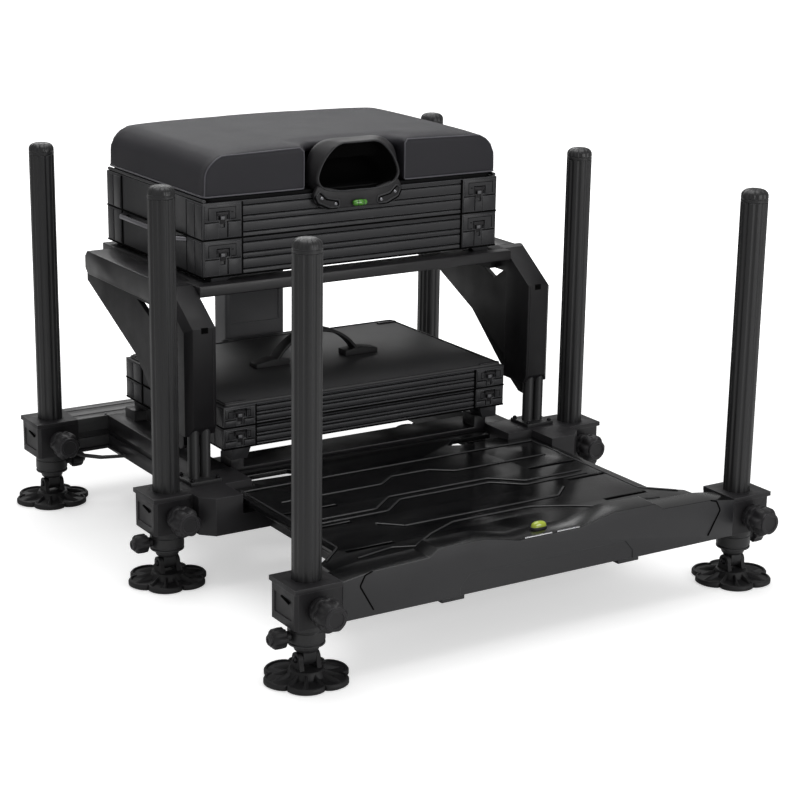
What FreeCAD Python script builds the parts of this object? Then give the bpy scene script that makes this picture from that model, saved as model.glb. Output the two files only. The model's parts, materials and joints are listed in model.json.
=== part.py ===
import FreeCAD, Part
import math
import os
from types import SimpleNamespace

import Sketcher

# Fishing seat box: a modular seat on a six-legged platform with a sliding footplate.
# Millimetres. X runs across the seat, -Y is the side the angler faces, +Z is up.
# The origin is on the ground, under the middle of the whole outline.

DRIVING_SIZES = {
    # legs and their clamp blocks
    "leg_diameter": 36,
    "leg_top": 538,
    "leg_cap_length": 16,
    "leg_cap_bevel": 4,
    "flute_count": 10,
    "flute_width": 5,
    "flute_depth": 1.2,
    "track_width": 668,
    "rear_row_gap": 390,
    "front_row_gap": 376,
    "block_depth": 62,
    "block_outboard": 32,
    "block_inboard": 31,
    "block_bottom": 76,
    "block_height": 52,
    "block_lip_height": 6,
    "block_lip": 1.5,
    "block_round": 4,
    "end_panel_border": 10,
    "end_panel_depth": 1.5,
    # round pieces drawn with flats
    "round_flats": 16,
    # knobs
    "running_fit": 0.06,
    "seat_gap": 0.3,
    "knob_diameter": 40,
    "knob_collar_diameter": 30,
    "knob_collar_length": 8,
    "knob_grip_length": 26,
    "knob_cap_diameter": 30,
    "knob_cap_length": 6,
    "knob_lobes": 6,
    "knob_scallop_depth": 3,
    "knob_clearance": 3,
    "stud_diameter": 8,
    "knob_height": 99,
    "foot_knob_diameter": 26,
    "foot_knob_neck": 7,
    "foot_knob_grip_length": 18,
    "foot_knob_cap_length": 4,
    "foot_knob_height": 59,
    # foot collars and mud feet
    "collar_diameter": 46,
    "collar_height": 30,
    "leg_socket_depth": 26,
    "ankle_diameter": 32,
    "tongue_width": 17,
    "tongue_depth": 18,
    "ear_thickness": 6,
    "ear_gap": 0.4,
    "ankle_gap": 1.2,
    "pin_diameter": 8,
    "pin_height": 27,
    "foot_diameter": 110,
    "foot_thickness": 8,
    "foot_waist_diameter": 90,
    "foot_lobes": 6,
    "foot_hub_diameter": 42,
    "foot_hub_height": 7,
    # lower frame
    "beam_depth": 64,
    "beam_drop": 2,
    "beam_groove_width": 10,
    "beam_groove_depth": 4,
    "rail_outer": 255,
    "rail_width": 40,
    "rail_groove_width": 8,
    "rail_groove_depth": 3,
    "loop_size": 60,
    "loop_thickness": 4,
    "casting_inner": 213,
    "casting_rear": 45,
    "casting_front": 67,
    "housing_height": 25,
    "housing_step": 15,
    "housing_slant": 17,
    "plate_clearance": 4,
    "bar_depth": 59,
    "bar_thickness": 13,
    "bar_rise": 36,
    "channel_width": 35,
    "channel_height": 27,
    "channel_wall": 3,
    "channel_front": 222,
    "channel_slant": 14,
    "post_width": 102,
    "post_depth": 39,
    "post_set_back": 17,
    "post_border": 5,
    "post_panel_depth": 2,
    # footplate unit
    "plate_level": 120,
    "plate_thickness": 7,
    "plate_width": 500,
    "plate_front_width": 580,
    "plate_rear": 21,
    "plate_tail": 41,
    "plate_tail_half": 205,
    "plate_flare_start": 295,
    "plate_flare_end": 325,
    "plate_slot_width": 8,
    "plate_slot_length": 74,
    "front_beam_depth": 38,
    "front_beam_height": 57,
    "front_beam_hump": 11,
    "front_ledge_depth": 14,
    "front_ledge_inset": 20,
    "front_panel_inset": 3,
    "front_panel_depth": 2,
    "lug_width": 34,
    "lug_spacing": 274,
    "lug_depth": 26,
    "lug_drop": 10,
    "slide_length": 325,
    # uprights and upper frame
    "casing_inner_face": 255,
    "casing_width": 43,
    "casing_front": 5,
    "casing_depth": 57,
    "casing_bottom": 192,
    "casing_shoulder": 340,
    "casing_socket": 40,
    "casing_bevel": 9,
    "column_diameter": 16,
    "column_spacing": 17,
    "column_set_back": 11,
    "column_base_width": 46,
    "column_base_depth": 44,
    "column_base_height": 5,
    "web_thickness": 8,
    "web_tip_set_back": 34,
    "upper_level": 385,
    "upper_rail_height": 34,
    "upper_rail_width": 45,
    "upper_rail_outer": 290,
    "upper_rail_rear": 42,
    "upper_rail_bevel": 8,
    "front_cross_height": 15,
    "front_cross_depth": 38,
    "rear_cross_depth": 50,
    # seat stack
    "seat_width": 478,
    "seat_depth": 306,
    "seat_rear": 13,
    "seat_tier": 51,
    "seat_foot": 6,
    "seat_casting_width": 60,
    "seat_casting_depth": 49,
    "base_thickness": 5,
    "base_inset": 5,
    "cushion_inset": 0.5,
    "cushion_height": 64,
    "cushion_round": 22,
    "cushion_corner": 28,
    "cushion_crown": 7,
    "rest_width": 144,
    "rest_height": 67,
    "rest_depth": 74,
    "rest_round": 40,
    "rest_clearance": 1,
    "rest_mouth_width": 120,
    "rest_mouth_height": 58,
    "rest_floor": 3,
    "rest_mouth_depth": 52,
    "rest_apron_drop": 23,
    "rest_apron_thickness": 8,
    "handle_gap": 2,
    "handle_height": 6,
    "handle_reach": 12,
    # lower stack
    "lower_width": 464,
    "lower_depth": 311,
    "lower_rear": 50,
    "lower_tier": 30,
    "lower_bottom": 159,
    "lower_foot": 16,
    "lower_casting_width": 50,
    "lower_casting_depth": 53,
    "lid_thickness": 3,
    "lid_inset": 4,
    "strap_span": 150,
    "strap_rise": 48,
    "strap_thickness": 5,
    "strap_width": 22,
    "strap_lug_length": 56,
    "strap_lug_height": 9,
    "strap_set_back": 155,
    # trays and latches
    "tray_wall": 6,
    "tray_floor": 3,
    "casting_proud": 1.5,
    "rib_groove": 3,
    "latch_head_width": 16,
    "latch_head_height": 5,
    "latch_stem_width": 7,
    "latch_stem_height": 11,
    "latch_thickness": 3,
    "latch_gap": 0.4,
    "latch_travel": 5,
    # hinges of the seat and the lid
    "hinge_reach": 5,
    "hinge_length": 120,
    "hinge_ear": 10,
    "hinge_drop": 12,
    "hinge_diameter": 9,
    "hinge_pin_diameter": 5,
    # spirit levels
    "level_length": 24,
    "level_width": 12,
    "level_height": 6,
    "vial_diameter": 7,
    "rest_level_width": 8,
}


class Size(float):
    """A length that carries the formula it came from."""

    def __new__(cls, value, text):
        size = super().__new__(cls, value)
        size.text = text
        return size

    def __add__(self, other):
        return Size(float(self) + float(other), f"({self.text} + {text_of(other)})")

    def __radd__(self, other):
        return Size(float(other) + float(self), f"({text_of(other)} + {self.text})")

    def __sub__(self, other):
        return Size(float(self) - float(other), f"({self.text} - {text_of(other)})")

    def __rsub__(self, other):
        return Size(float(other) - float(self), f"({text_of(other)} - {self.text})")

    def __mul__(self, other):
        return Size(float(self) * float(other), f"({self.text} * {text_of(other)})")

    def __rmul__(self, other):
        return Size(float(other) * float(self), f"({text_of(other)} * {self.text})")

    def __truediv__(self, other):
        return Size(float(self) / float(other), f"({self.text} / {text_of(other)})")

    def __neg__(self):
        return Size(-float(self), f"(0 - {self.text})")


def text_of(value):
    """Return the expression text of a size, or the plain number."""
    return value.text if isinstance(value, Size) else repr(float(value))


doc = FreeCAD.newDocument("seat_box")
sheet = doc.addObject("Spreadsheet::Sheet", "Sizes")
sizes = SimpleNamespace()
for row, (alias, value) in enumerate(DRIVING_SIZES.items(), start=1):
    sheet.set(f"A{row}", alias)
    sheet.set(f"B{row}", str(value))
    sheet.setAlias(f"B{row}", alias)
    setattr(sizes, alias, Size(value, f"Sizes.{alias}"))
doc.recompute()

# Places that several pieces share
leg_radius = sizes.leg_diameter / 2
track = sizes.track_width / 2
block_half = sizes.block_depth / 2
knob_length = sizes.knob_collar_length + sizes.knob_grip_length + sizes.knob_cap_length
rows_span = sizes.rear_row_gap + sizes.front_row_gap
rear_y = (rows_span + block_half + knob_length - sizes.foot_diameter / 2) / 2
middle_y = rear_y - sizes.rear_row_gap
front_y = middle_y - sizes.front_row_gap
block_top = sizes.block_bottom + sizes.block_height
block_face = track - sizes.block_inboard
beam_half = sizes.beam_depth / 2
collar_top = sizes.block_bottom - sizes.seat_gap
collar_bottom = collar_top - sizes.collar_height
housing_top = sizes.block_bottom + sizes.housing_height
bar_bottom = sizes.block_bottom + sizes.bar_rise
bar_top = bar_bottom + sizes.bar_thickness
upper_bottom = sizes.upper_level - sizes.upper_rail_height
casing_face = middle_y + sizes.casing_front
casing_back = casing_face + sizes.casing_depth
seat_back = rear_y - sizes.seat_rear
seat_bottom = sizes.upper_level + sizes.seat_foot
base_bottom = seat_bottom + sizes.seat_tier * 2
base_top = base_bottom + sizes.base_thickness
lower_back = rear_y - sizes.lower_rear
lid_bottom = sizes.lower_bottom + sizes.lower_tier * 2
plate_bottom = sizes.plate_level - sizes.plate_thickness
front_beam_face = front_y - block_half - sizes.block_lip / 2
front_beam_back = front_beam_face + sizes.front_beam_depth
fascia_top = sizes.block_bottom + sizes.front_beam_height

PLANES = {"XY": "XY_Plane", "XZ": "XZ_Plane", "YZ": "YZ_Plane"}
SIDES = {"left": -1, "right": 1}
ROWS = {"rear": rear_y, "middle": middle_y, "front": front_y}
nodes = {}
cuts = []


def keep(label, piece):
    """Name a finished sub-part, whose label becomes its file name."""
    piece.Label = label
    nodes[label] = piece


def move_to(piece, x=0, y=0, z=0):
    """Bind the place of a sub-part to the sizes."""
    for axis, distance in zip("xyz", (x, y, z)):
        piece.setExpression(f"Placement.Base.{axis}", text_of(distance))


def new_body(name):
    """Start an empty body."""
    return doc.addObject("PartDesign::Body", name)


def new_sketch(body, plane, offset, shapes):
    """Draw closed outlines on a plane: circles as (x, y, r), outlines as lists of points."""
    sketch = body.newObject("Sketcher::SketchObject", "Outline")
    support = [item for item in body.Origin.OriginFeatures if item.Role == PLANES[plane]][0]
    sketch.AttachmentSupport = [(support, "")]
    sketch.MapMode = "FlatFace"
    turned = -offset if plane == "XZ" else offset
    sketch.setExpression("AttachmentOffset.Base.z", text_of(turned))
    for shape in shapes:
        if isinstance(shape, tuple):
            draw_circle(sketch, *shape)
        else:
            draw_outline(sketch, shape)
    return sketch


def hold(sketch, kind, geometry, point, distance):
    """Fix one coordinate of a point, bound to the sizes."""
    index = sketch.addConstraint(Sketcher.Constraint(kind, -1, 1, geometry, point, float(distance)))
    if isinstance(distance, Size):
        sketch.setExpression(f"Constraints[{index}]", distance.text)


def draw_circle(sketch, x, y, radius):
    """Draw one circle with its centre and radius fixed."""
    centre = FreeCAD.Vector(float(x), float(y), 0)
    circle = sketch.addGeometry(Part.Circle(centre, FreeCAD.Vector(0, 0, 1), float(radius)), False)
    hold(sketch, "DistanceX", circle, 3, x)
    hold(sketch, "DistanceY", circle, 3, y)
    index = sketch.addConstraint(Sketcher.Constraint("Radius", circle, float(radius)))
    if isinstance(radius, Size):
        sketch.setExpression(f"Constraints[{index}]", radius.text)


def draw_outline(sketch, points):
    """Draw a closed outline of straight lines with every corner fixed."""
    corners = [FreeCAD.Vector(float(x), float(y), 0) for x, y in points]
    lines = []
    for start, end in zip(corners, corners[1:] + corners[:1]):
        lines.append(sketch.addGeometry(Part.LineSegment(start, end), False))
    for line, after in zip(lines, lines[1:] + lines[:1]):
        sketch.addConstraint(Sketcher.Constraint("Coincident", line, 2, after, 1))
    for line, (x, y) in zip(lines, points):
        hold(sketch, "DistanceX", line, 1, x)
        hold(sketch, "DistanceY", line, 1, y)


def span(start, end):
    """Put two coordinates in rising order."""
    return (start, end) if float(start) < float(end) else (end, start)


def pad(body, plane, start, end, *shapes):
    """Add outlines as solid between two coordinates of the plane's normal axis."""
    low, high = span(start, end)
    feature = body.newObject("PartDesign::Pad", "Pad")
    feature.Profile = new_sketch(body, plane, low, shapes)
    feature.setExpression("Length", text_of(high - low))
    feature.Reversed = plane == "XZ"
    body.Tip = feature
    return feature


def pocket(body, plane, start, end, *shapes):
    """Cut outlines away between two coordinates of the plane's normal axis."""
    low, high = span(start, end)
    feature = body.newObject("PartDesign::Pocket", "Pocket")
    feature.Profile = new_sketch(body, plane, low, shapes)
    feature.setExpression("Length", text_of(high - low))
    feature.Reversed = plane != "XZ"
    body.Tip = feature
    cuts.append(feature)
    return feature


def picked_edges(body, wanted):
    """Return the tip of a body with the names of the edges that a test picks."""
    doc.recompute()
    base = body.Tip
    return base, [f"Edge{i}" for i, edge in enumerate(base.Shape.Edges, start=1) if wanted(edge)]


def round_edges(body, radius, wanted):
    """Fillet the edges of the tip that a test picks."""
    picked = picked_edges(body, wanted)
    fillet = body.newObject("PartDesign::Fillet", "Rounding")
    fillet.Base = picked
    fillet.setExpression("Radius", text_of(radius))
    body.Tip = fillet
    return fillet


def bevel_edges(body, width, wanted):
    """Chamfer the edges of the tip that a test picks."""
    picked = picked_edges(body, wanted)
    chamfer = body.newObject("PartDesign::Chamfer", "Bevel")
    chamfer.Base = picked
    chamfer.setExpression("Size", text_of(width))
    body.Tip = chamfer
    return chamfer


def runs_along(edge, axis):
    """Tell whether an edge is straight and parallel to an axis."""
    if not isinstance(edge.Curve, Part.Line):
        return False
    return abs(getattr(edge.Curve.Direction, axis)) > 0.999


def box_outline(x_low, x_high, y_low, y_high):
    """Return a rectangle's corners."""
    return [(x_low, y_low), (x_high, y_low), (x_high, y_high), (x_low, y_high)]


def lobed_outline(lobes, corners):
    """Return a lobed outline from the corners of one lobe, as (radius, share of the lobe's turn)."""
    outline = []
    for lobe in range(int(lobes)):
        for radius, share in corners:
            angle = 2 * math.pi * (lobe + share) / int(lobes)
            outline.append((radius * math.cos(angle), radius * math.sin(angle)))
    return outline


def round_outline(radius):
    """Return a round piece's outline as flats, for a piece that nothing turns in."""
    return lobed_outline(sizes.round_flats / 2, [(radius, -0.25), (radius, 0.25)])


def flat_hole(x, y, radius):
    """Return the outline of a hole with flats that a round stud of a given radius just clears."""
    corner = radius / math.cos(math.pi / 8)
    return [(x + u, y + v) for u, v in lobed_outline(8, [(corner, 0.5)])]


def mirrored(points):
    """Return an outline mirrored in its first coordinate."""
    return [(-x, y) for x, y in points]


def both_sides(label, body):
    """Keep a right-hand body together with its mirror image as one node of two solids."""
    body.Label = label + "_one"
    mirror = doc.addObject("Part::Mirroring", label + "_mirror")
    mirror.Source = body
    mirror.Normal = FreeCAD.Vector(1, 0, 0)
    group(label, [body, mirror])


def group(label, pieces):
    """Keep several solids as one node."""
    compound = doc.addObject("Part::Compound", label + "_group")
    compound.Links = pieces
    keep(label, compound)


# Legs, knobs and feet

flute_share = float(sizes.flute_width * sizes.flute_count) / (2 * math.pi * float(leg_radius))
land_share = (1 - flute_share) / 2


def tube_rim(radius):
    """Return the outline that joins the corners of the tube's lands, at a given radius."""
    return lobed_outline(sizes.flute_count, [(radius, -land_share), (radius, land_share)])


def leg_tube():
    """Make one fluted leg tube with its bevelled cap, standing in the foot collar's socket."""
    body = new_body("tube")
    cap_bottom = sizes.leg_top - sizes.leg_cap_length
    groove = leg_radius - sizes.flute_depth
    floor = land_share + flute_share * 0.3
    flute = [(leg_radius, -land_share), (leg_radius, land_share), (groove, floor), (groove, 1 - floor)]
    section = lobed_outline(sizes.flute_count, flute)
    pad(body, "XY", collar_top - sizes.leg_socket_depth, cap_bottom, section)
    pad(body, "XY", cap_bottom, sizes.leg_top, tube_rim(leg_radius))
    top = float(sizes.leg_top)
    bevel_edges(body, sizes.leg_cap_bevel, lambda edge: edge.BoundBox.ZMin > top - 0.01)
    return body


def foot_collar(knob_side):
    """Make the collar that the leg stands in, with its ankle and the tongue over the foot's pin."""
    body = new_body("collar")
    pad(body, "XY", collar_bottom, collar_top, round_outline(sizes.collar_diameter / 2))
    ankle_bottom = sizes.pin_height + sizes.tongue_depth / 2 + sizes.ankle_gap
    pad(body, "XY", ankle_bottom, collar_bottom, round_outline(sizes.ankle_diameter / 2))
    half = sizes.tongue_width / 2
    reach = sizes.tongue_depth / 2
    low = sizes.pin_height - reach
    tongue = [(-reach, ankle_bottom + 1), (-reach, sizes.pin_height - reach / 2), (-reach / 2, low)]
    tongue += [(reach / 2, low), (reach, sizes.pin_height - reach / 2), (reach, ankle_bottom + 1)]
    pad(body, "YZ", -half, half, tongue)
    socket = tube_rim(leg_radius + sizes.running_fit)
    pocket(body, "XY", collar_top - sizes.leg_socket_depth, collar_top, socket)
    pin_hole = (0, sizes.pin_height, sizes.pin_diameter / 2 + sizes.running_fit)
    pocket(body, "YZ", -half, half, pin_hole)
    stud_hole = flat_hole(0, sizes.foot_knob_height, foot_stud_radius + sizes.running_fit)
    wall = knob_side * sizes.collar_diameter / 2
    pocket(body, "YZ", knob_side * (leg_radius - 1), wall, stud_hole)
    return body


def knob_outline(radius, scallop):
    """Return a knob's outline, with a scallop between each pair of lobes, or a plain one."""
    if not scallop:
        return round_outline(radius)
    waist = radius - scallop
    corners = [(radius, -0.16), (radius, 0.16), (waist, 0.38), (waist, 0.62)]
    return lobed_outline(sizes.knob_lobes, corners)


def clamp_knob():
    """Make a clamp knob: stud, collar, lobed grip and cap, turning about Y."""
    body = new_body("knob")
    face = -block_half
    collar_end = face - sizes.knob_collar_length
    grip_end = collar_end - sizes.knob_grip_length
    tip = grip_end - sizes.knob_cap_length
    pad(body, "XZ", collar_end, face, knob_outline(sizes.knob_collar_diameter / 2, 0))
    pad(body, "XZ", grip_end, collar_end, knob_outline(sizes.knob_diameter / 2, sizes.knob_scallop_depth))
    pad(body, "XZ", tip, grip_end, knob_outline(sizes.knob_cap_diameter / 2, 0))
    pad(body, "XZ", face, -leg_radius - sizes.seat_gap, (0, 0, sizes.stud_diameter / 2))
    return body


foot_stud_radius = sizes.stud_diameter / 2 - 1


def foot_knob(knob_side):
    """Make a foot collar knob, turning about X."""
    body = new_body("small_knob")
    start = sizes.collar_diameter / 2 + sizes.seat_gap
    grip = sizes.collar_diameter / 2 + sizes.foot_knob_neck
    grip_end = grip + sizes.foot_knob_grip_length
    radius = sizes.foot_knob_diameter / 2
    grip_outline = knob_outline(radius, sizes.knob_scallop_depth / 2)
    pad(body, "YZ", knob_side * grip, knob_side * grip_end, grip_outline)
    neck_outline = knob_outline(radius / 2, 0)
    pad(body, "YZ", knob_side * start, knob_side * grip, neck_outline)
    tip = grip_end + sizes.foot_knob_cap_length
    pad(body, "YZ", knob_side * grip_end, knob_side * tip, neck_outline)
    inner = leg_radius + sizes.seat_gap
    pad(body, "YZ", knob_side * inner, knob_side * start, (0, 0, foot_stud_radius))
    return body


def mud_foot():
    """Make a mud foot: lobed plate, hub and two ears that hold the pin."""
    body = new_body("foot")
    rim = sizes.foot_diameter / 2
    waist = sizes.foot_waist_diameter / 2
    lobe = [(rim, -0.27), (rim, 0.27), (waist, 0.42), (waist, 0.58)]
    pad(body, "XY", 0, sizes.foot_thickness, lobed_outline(sizes.foot_lobes, lobe))
    hub_top = sizes.foot_thickness + sizes.foot_hub_height
    pad(body, "XY", sizes.foot_thickness, hub_top, round_outline(sizes.foot_hub_diameter / 2))
    inner = sizes.tongue_width / 2 + sizes.ear_gap
    outer = inner + sizes.ear_thickness
    half = sizes.tongue_depth / 2
    ear_top = sizes.pin_height + half
    ear = [(-half, sizes.foot_thickness), (half, sizes.foot_thickness), (half, sizes.pin_height)]
    ear += [(half / 2, ear_top), (-half / 2, ear_top), (-half, sizes.pin_height)]
    for side in SIDES.values():
        pad(body, "YZ", side * inner, side * outer, ear)
    pad(body, "YZ", -inner, inner, (0, sizes.pin_height, sizes.pin_diameter / 2))
    return body


def build_legs():
    """Make the six legs with their collars, knobs and feet."""
    for row, row_y in ROWS.items():
        for side_name, side in SIDES.items():
            x = side * track
            knob_side = -side if row == "rear" else side
            tube = leg_tube()
            collar = foot_collar(knob_side)
            move_to(tube, x, row_y)
            move_to(collar, x, row_y)
            group(f"leg_{row}_{side_name}", [tube, collar])
            knob = clamp_knob()
            move_to(knob, x, row_y, sizes.knob_height)
            keep(f"clamp_knob_{row}_{side_name}", knob)
            small = foot_knob(knob_side)
            move_to(small, x, row_y, sizes.foot_knob_height)
            keep(f"foot_knob_{row}_{side_name}", small)
            foot = mud_foot()
            move_to(foot, x, row_y)
            keep(f"foot_{row}_{side_name}", foot)


# Lower frame

def clamp_block(extra=None):
    """Make a right-hand clamp block about its leg, with any casting that extends it inboard."""
    body = new_body("block")
    lip_bottom = block_top - sizes.block_lip_height
    low = sizes.block_bottom
    corner = sizes.block_round
    face = sizes.block_outboard
    plan = [(-sizes.block_inboard, -block_half), (face - corner, -block_half), (face, -block_half + corner)]
    plan += [(face, block_half - corner), (face - corner, block_half), (-sizes.block_inboard, block_half)]
    pad(body, "XY", low, lip_bottom, plan)
    lip = sizes.block_lip
    lip_x = sizes.block_outboard + lip
    lip_y = block_half + lip / 2
    lip_plan = box_outline(-sizes.block_inboard, lip_x, -lip_y, lip_y)
    pad(body, "XY", lip_bottom, block_top, lip_plan)
    if extra:
        extra(body)
    border = sizes.end_panel_border
    panel = box_outline(-block_half + border, block_half - border, low + border, lip_bottom - border)
    pocket(body, "YZ", face - sizes.end_panel_depth, face, panel)
    pocket(body, "XY", low, block_top, (0, 0, leg_radius + sizes.running_fit))
    stud_hole = flat_hole(0, sizes.knob_height, sizes.stud_diameter / 2 + sizes.running_fit)
    pocket(body, "XZ", -block_half, -leg_radius + 1, stud_hole)
    return body


def middle_casting(body):
    """Extend a middle block inboard to carry the rail, the upright and the slide channel."""
    inner = sizes.casting_inner - track
    outer = -sizes.block_inboard
    front = -sizes.casting_front
    rear = sizes.casting_rear
    step = -sizes.housing_step
    low = sizes.block_bottom
    plan = [(inner, step), (outer + 1, step), (outer + 1, rear), (inner, rear)]
    pad(body, "XY", low, block_top, plan)
    edge = -sizes.knob_diameter / 2 - sizes.knob_clearance
    slant = sizes.housing_slant
    housing = [(inner, front), (edge - slant, front), (edge, front + slant), (edge, step), (inner, step)]
    pad(body, "XY", low, housing_top, housing)
    beside = sizes.plate_width / 2 + sizes.plate_clearance - track
    tower = [(beside, front), (edge - slant, front), (edge, front + slant), (edge, step), (beside, step)]
    pad(body, "XY", housing_top, block_top, tower)


def build_clamp_blocks():
    """Make the rear, middle and front pairs of clamp blocks."""
    for row, row_y in ROWS.items():
        block = clamp_block(middle_casting if row == "middle" else None)
        move_to(block, track, row_y)
        both_sides(f"{row}_clamp_blocks", block)


def rear_beam():
    """Make the rear cross beam, an extrusion with a groove down each side and two on top."""
    body = new_body("beam")
    low = sizes.block_bottom + sizes.beam_drop
    high = block_top
    middle = (low + high) / 2
    groove = sizes.beam_groove_width / 2
    depth = sizes.beam_groove_depth
    half = beam_half
    right = [(half, low), (half, middle - groove), (half - depth, middle - groove)]
    right += [(half - depth, middle + groove), (half, middle + groove), (half, high)]
    top = [(depth * 4, high), (depth * 4, high - 1), (depth * 3, high - 1), (depth * 3, high)]
    half_section = right + top
    section = half_section + [(-x, z) for x, z in reversed(half_section)]
    pad(body, "YZ", -block_face, block_face, section)
    move_to(body, 0, rear_y)
    keep("rear_beam", body)


LOOP_RIM = ((0, 0), (1, 0), (0.94, 0.4), (0.58, 0.82), (0, 1))
LOOP_HOLE = ((0.06, 0.06), (0.88, 0.06), (0.83, 0.35), (0.5, 0.72), (0.06, 0.88))


def loop_outline(x, y, shares):
    """Return an outline of the strap loop in a frame corner, from shares of the loop's size."""
    return [(x + sizes.loop_size * across, y - sizes.loop_size * along) for across, along in shares]


def side_rails():
    """Make the pair of side rails from the rear beam to the middle castings, each with a strap loop."""
    body = new_body("rail")
    low = sizes.block_bottom
    outer = sizes.rail_outer
    inner = outer - sizes.rail_width
    middle = (low + block_top) / 2
    groove = sizes.rail_groove_width / 2
    depth = sizes.rail_groove_depth
    section = [(inner, low), (outer, low), (outer, middle - groove), (outer - depth, middle - groove)]
    section += [(outer - depth, middle + groove), (outer, middle + groove), (outer, block_top)]
    section += [(inner, block_top)]
    back = -beam_half
    front = -sizes.rear_row_gap + sizes.casting_rear
    pad(body, "XZ", front, back, section)
    pad_top = sizes.lower_bottom - sizes.lower_foot
    stand = box_outline(inner, inner + stand_width, -sizes.lower_rear - foot_depth, -sizes.lower_rear)
    pad(body, "XY", block_top, pad_top, stand)
    loop_low = low + sizes.beam_drop
    loop_high = loop_low + sizes.loop_thickness
    pad(body, "XY", loop_low, loop_high, loop_outline(outer, back, LOOP_RIM))
    pocket(body, "XY", loop_low, loop_high, loop_outline(outer, back, LOOP_HOLE))
    move_to(body, 0, rear_y)
    both_sides("side_rails", body)


stand_width = sizes.rail_width / 2
foot_depth = sizes.lower_casting_depth * 0.6
foot_width = sizes.lower_casting_width * 0.6


def middle_bar():
    """Make the thin cross bar between the middle castings, with two stands for the lower stack."""
    body = new_body("bar")
    inner = sizes.casting_inner
    rear = sizes.casting_rear + sizes.bar_depth
    front = sizes.casting_rear
    section = box_outline(front, rear, bar_bottom, bar_top)
    pad(body, "YZ", -inner, inner, section)
    groove = box_outline(-inner, inner, bar_bottom + 5, bar_top - 5)
    pocket(body, "XZ", front, front + 2, groove)
    stand_top = sizes.lower_bottom - sizes.lower_foot
    for side in SIDES.values():
        plan = box_outline(side * (inner - stand_width), side * inner, front, front + foot_depth)
        pad(body, "XY", bar_top, stand_top, plan)
    move_to(body, 0, middle_y)
    keep("middle_bar", body)


def slide_channels():
    """Make the pair of channels that the footplate's bars slide in."""
    body = new_body("channel")
    outer = sizes.casting_inner
    inner = outer - sizes.channel_width
    low = sizes.block_bottom
    high = low + sizes.channel_height
    back = sizes.casting_rear
    front = -sizes.channel_front
    side_view = [(back, low), (front, low), (front - sizes.channel_slant, high), (back, high)]
    pad(body, "YZ", inner, outer, side_view)
    wall = sizes.channel_wall
    bore = box_outline(inner + wall, outer - wall, low + wall, high - wall)
    pocket(body, "XZ", front - sizes.channel_slant, back, bore)
    move_to(body, 0, middle_y)
    both_sides("slide_channels", body)


def rear_post():
    """Make the rear centre post with its recessed front panel."""
    body = new_body("post")
    half = sizes.post_width / 2
    front = sizes.post_set_back - sizes.post_depth
    plan = box_outline(-half, half, front, sizes.post_set_back)
    pad(body, "XY", block_top, upper_bottom, plan)
    round_edges(body, sizes.block_round, lambda edge: runs_along(edge, "z"))
    border = sizes.post_border
    middle = (block_top + upper_bottom) / 2
    panel = box_outline(-half + border * 2, half - border * 2, middle, middle + half)
    pocket(body, "XZ", front, front + sizes.post_panel_depth, panel)
    move_to(body, 0, rear_y)
    keep("rear_post", body)


# Uprights and upper frame

def column_outlines():
    """Return the outlines of the two tubes of a right-hand column."""
    outlines = []
    for offset in (-sizes.column_spacing / 2, sizes.column_spacing / 2):
        rim = round_outline(sizes.column_diameter / 2)
        outlines.append([(column_x + offset + x, column_y + y) for x, y in rim])
    return outlines


def upright_columns():
    """Make the pair of twin-tube columns that stand on the middle castings."""
    body = new_body("column")
    base_x = sizes.column_base_width / 2
    base_y = sizes.column_base_depth / 2
    base = box_outline(column_x - base_x, column_x + base_x, column_y - base_y, column_y + base_y)
    base_top = block_top + sizes.column_base_height
    pad(body, "XY", block_top, base_top, base)
    pad(body, "XY", base_top, sizes.casing_bottom + sizes.casing_socket, *column_outlines())
    both_sides("upright_columns", body)


column_x = sizes.casing_inner_face + sizes.casing_width / 2
column_y = casing_face + sizes.column_set_back


# The web's lower edge: distance behind the casing's back, rise above the casing's bottom
WEB_EDGE = ((-4, -26), (44, 6), (123, 74), (221, 120))
# The web's window: distance behind the casing's back, drop below the rail's underside
WEB_WINDOW = ((36, 4), (116, 4), (68, 25))


def side_brackets():
    """Make the pair of upright casings, each with its web under the upper side rail."""
    body = new_body("bracket")
    inner = sizes.casing_inner_face
    outer = inner + sizes.casing_width
    front = casing_face
    back = casing_back
    low = sizes.casing_bottom
    top = sizes.upper_level
    head_back = back + head_length
    shoulder = sizes.casing_shoulder
    side_view = [(front, low + 13), (front + 8, low), (back, low), (back, upper_bottom)]
    side_view += [(head_back, upper_bottom), (head_back, top), (back + 7, top), (front, shoulder)]
    pad(body, "YZ", inner, outer, side_view)
    face = float(front)
    bevel_edges(body, sizes.casing_bevel, lambda edge: is_outer_front(edge, float(outer), face))
    web_back = rear_y - sizes.upper_rail_rear - 3
    web_outer = sizes.upper_rail_outer - 2
    tip = front + sizes.web_tip_set_back
    web = [(back - 1, low - 1), (tip, low - 1), (tip, low - 20), (tip + 8, low - 27)]
    web += [(back + behind, low + rise) for behind, rise in WEB_EDGE]
    web += [(web_back, upper_bottom - 10), (web_back, upper_bottom), (back - 1, upper_bottom)]
    pad(body, "YZ", web_outer - sizes.web_thickness, web_outer, web)
    window = [(back + behind, upper_bottom - drop) for behind, drop in WEB_WINDOW]
    pocket(body, "YZ", web_outer - sizes.web_thickness, web_outer, window)
    pocket(body, "XY", low, low + sizes.casing_socket, *column_outlines())
    both_sides("side_brackets", body)


def is_outer_front(edge, outer, face):
    """Tell whether an edge is the outer one of a casing's front face or of the slope above it."""
    box = edge.BoundBox
    on_side = min(box.XMin, box.XMax) > outer - 0.01
    return on_side and box.YMin < face + 0.01 and box.ZMax > float(sizes.casing_shoulder) - 0.01


head_length = sizes.casing_depth * 0.5


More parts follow.
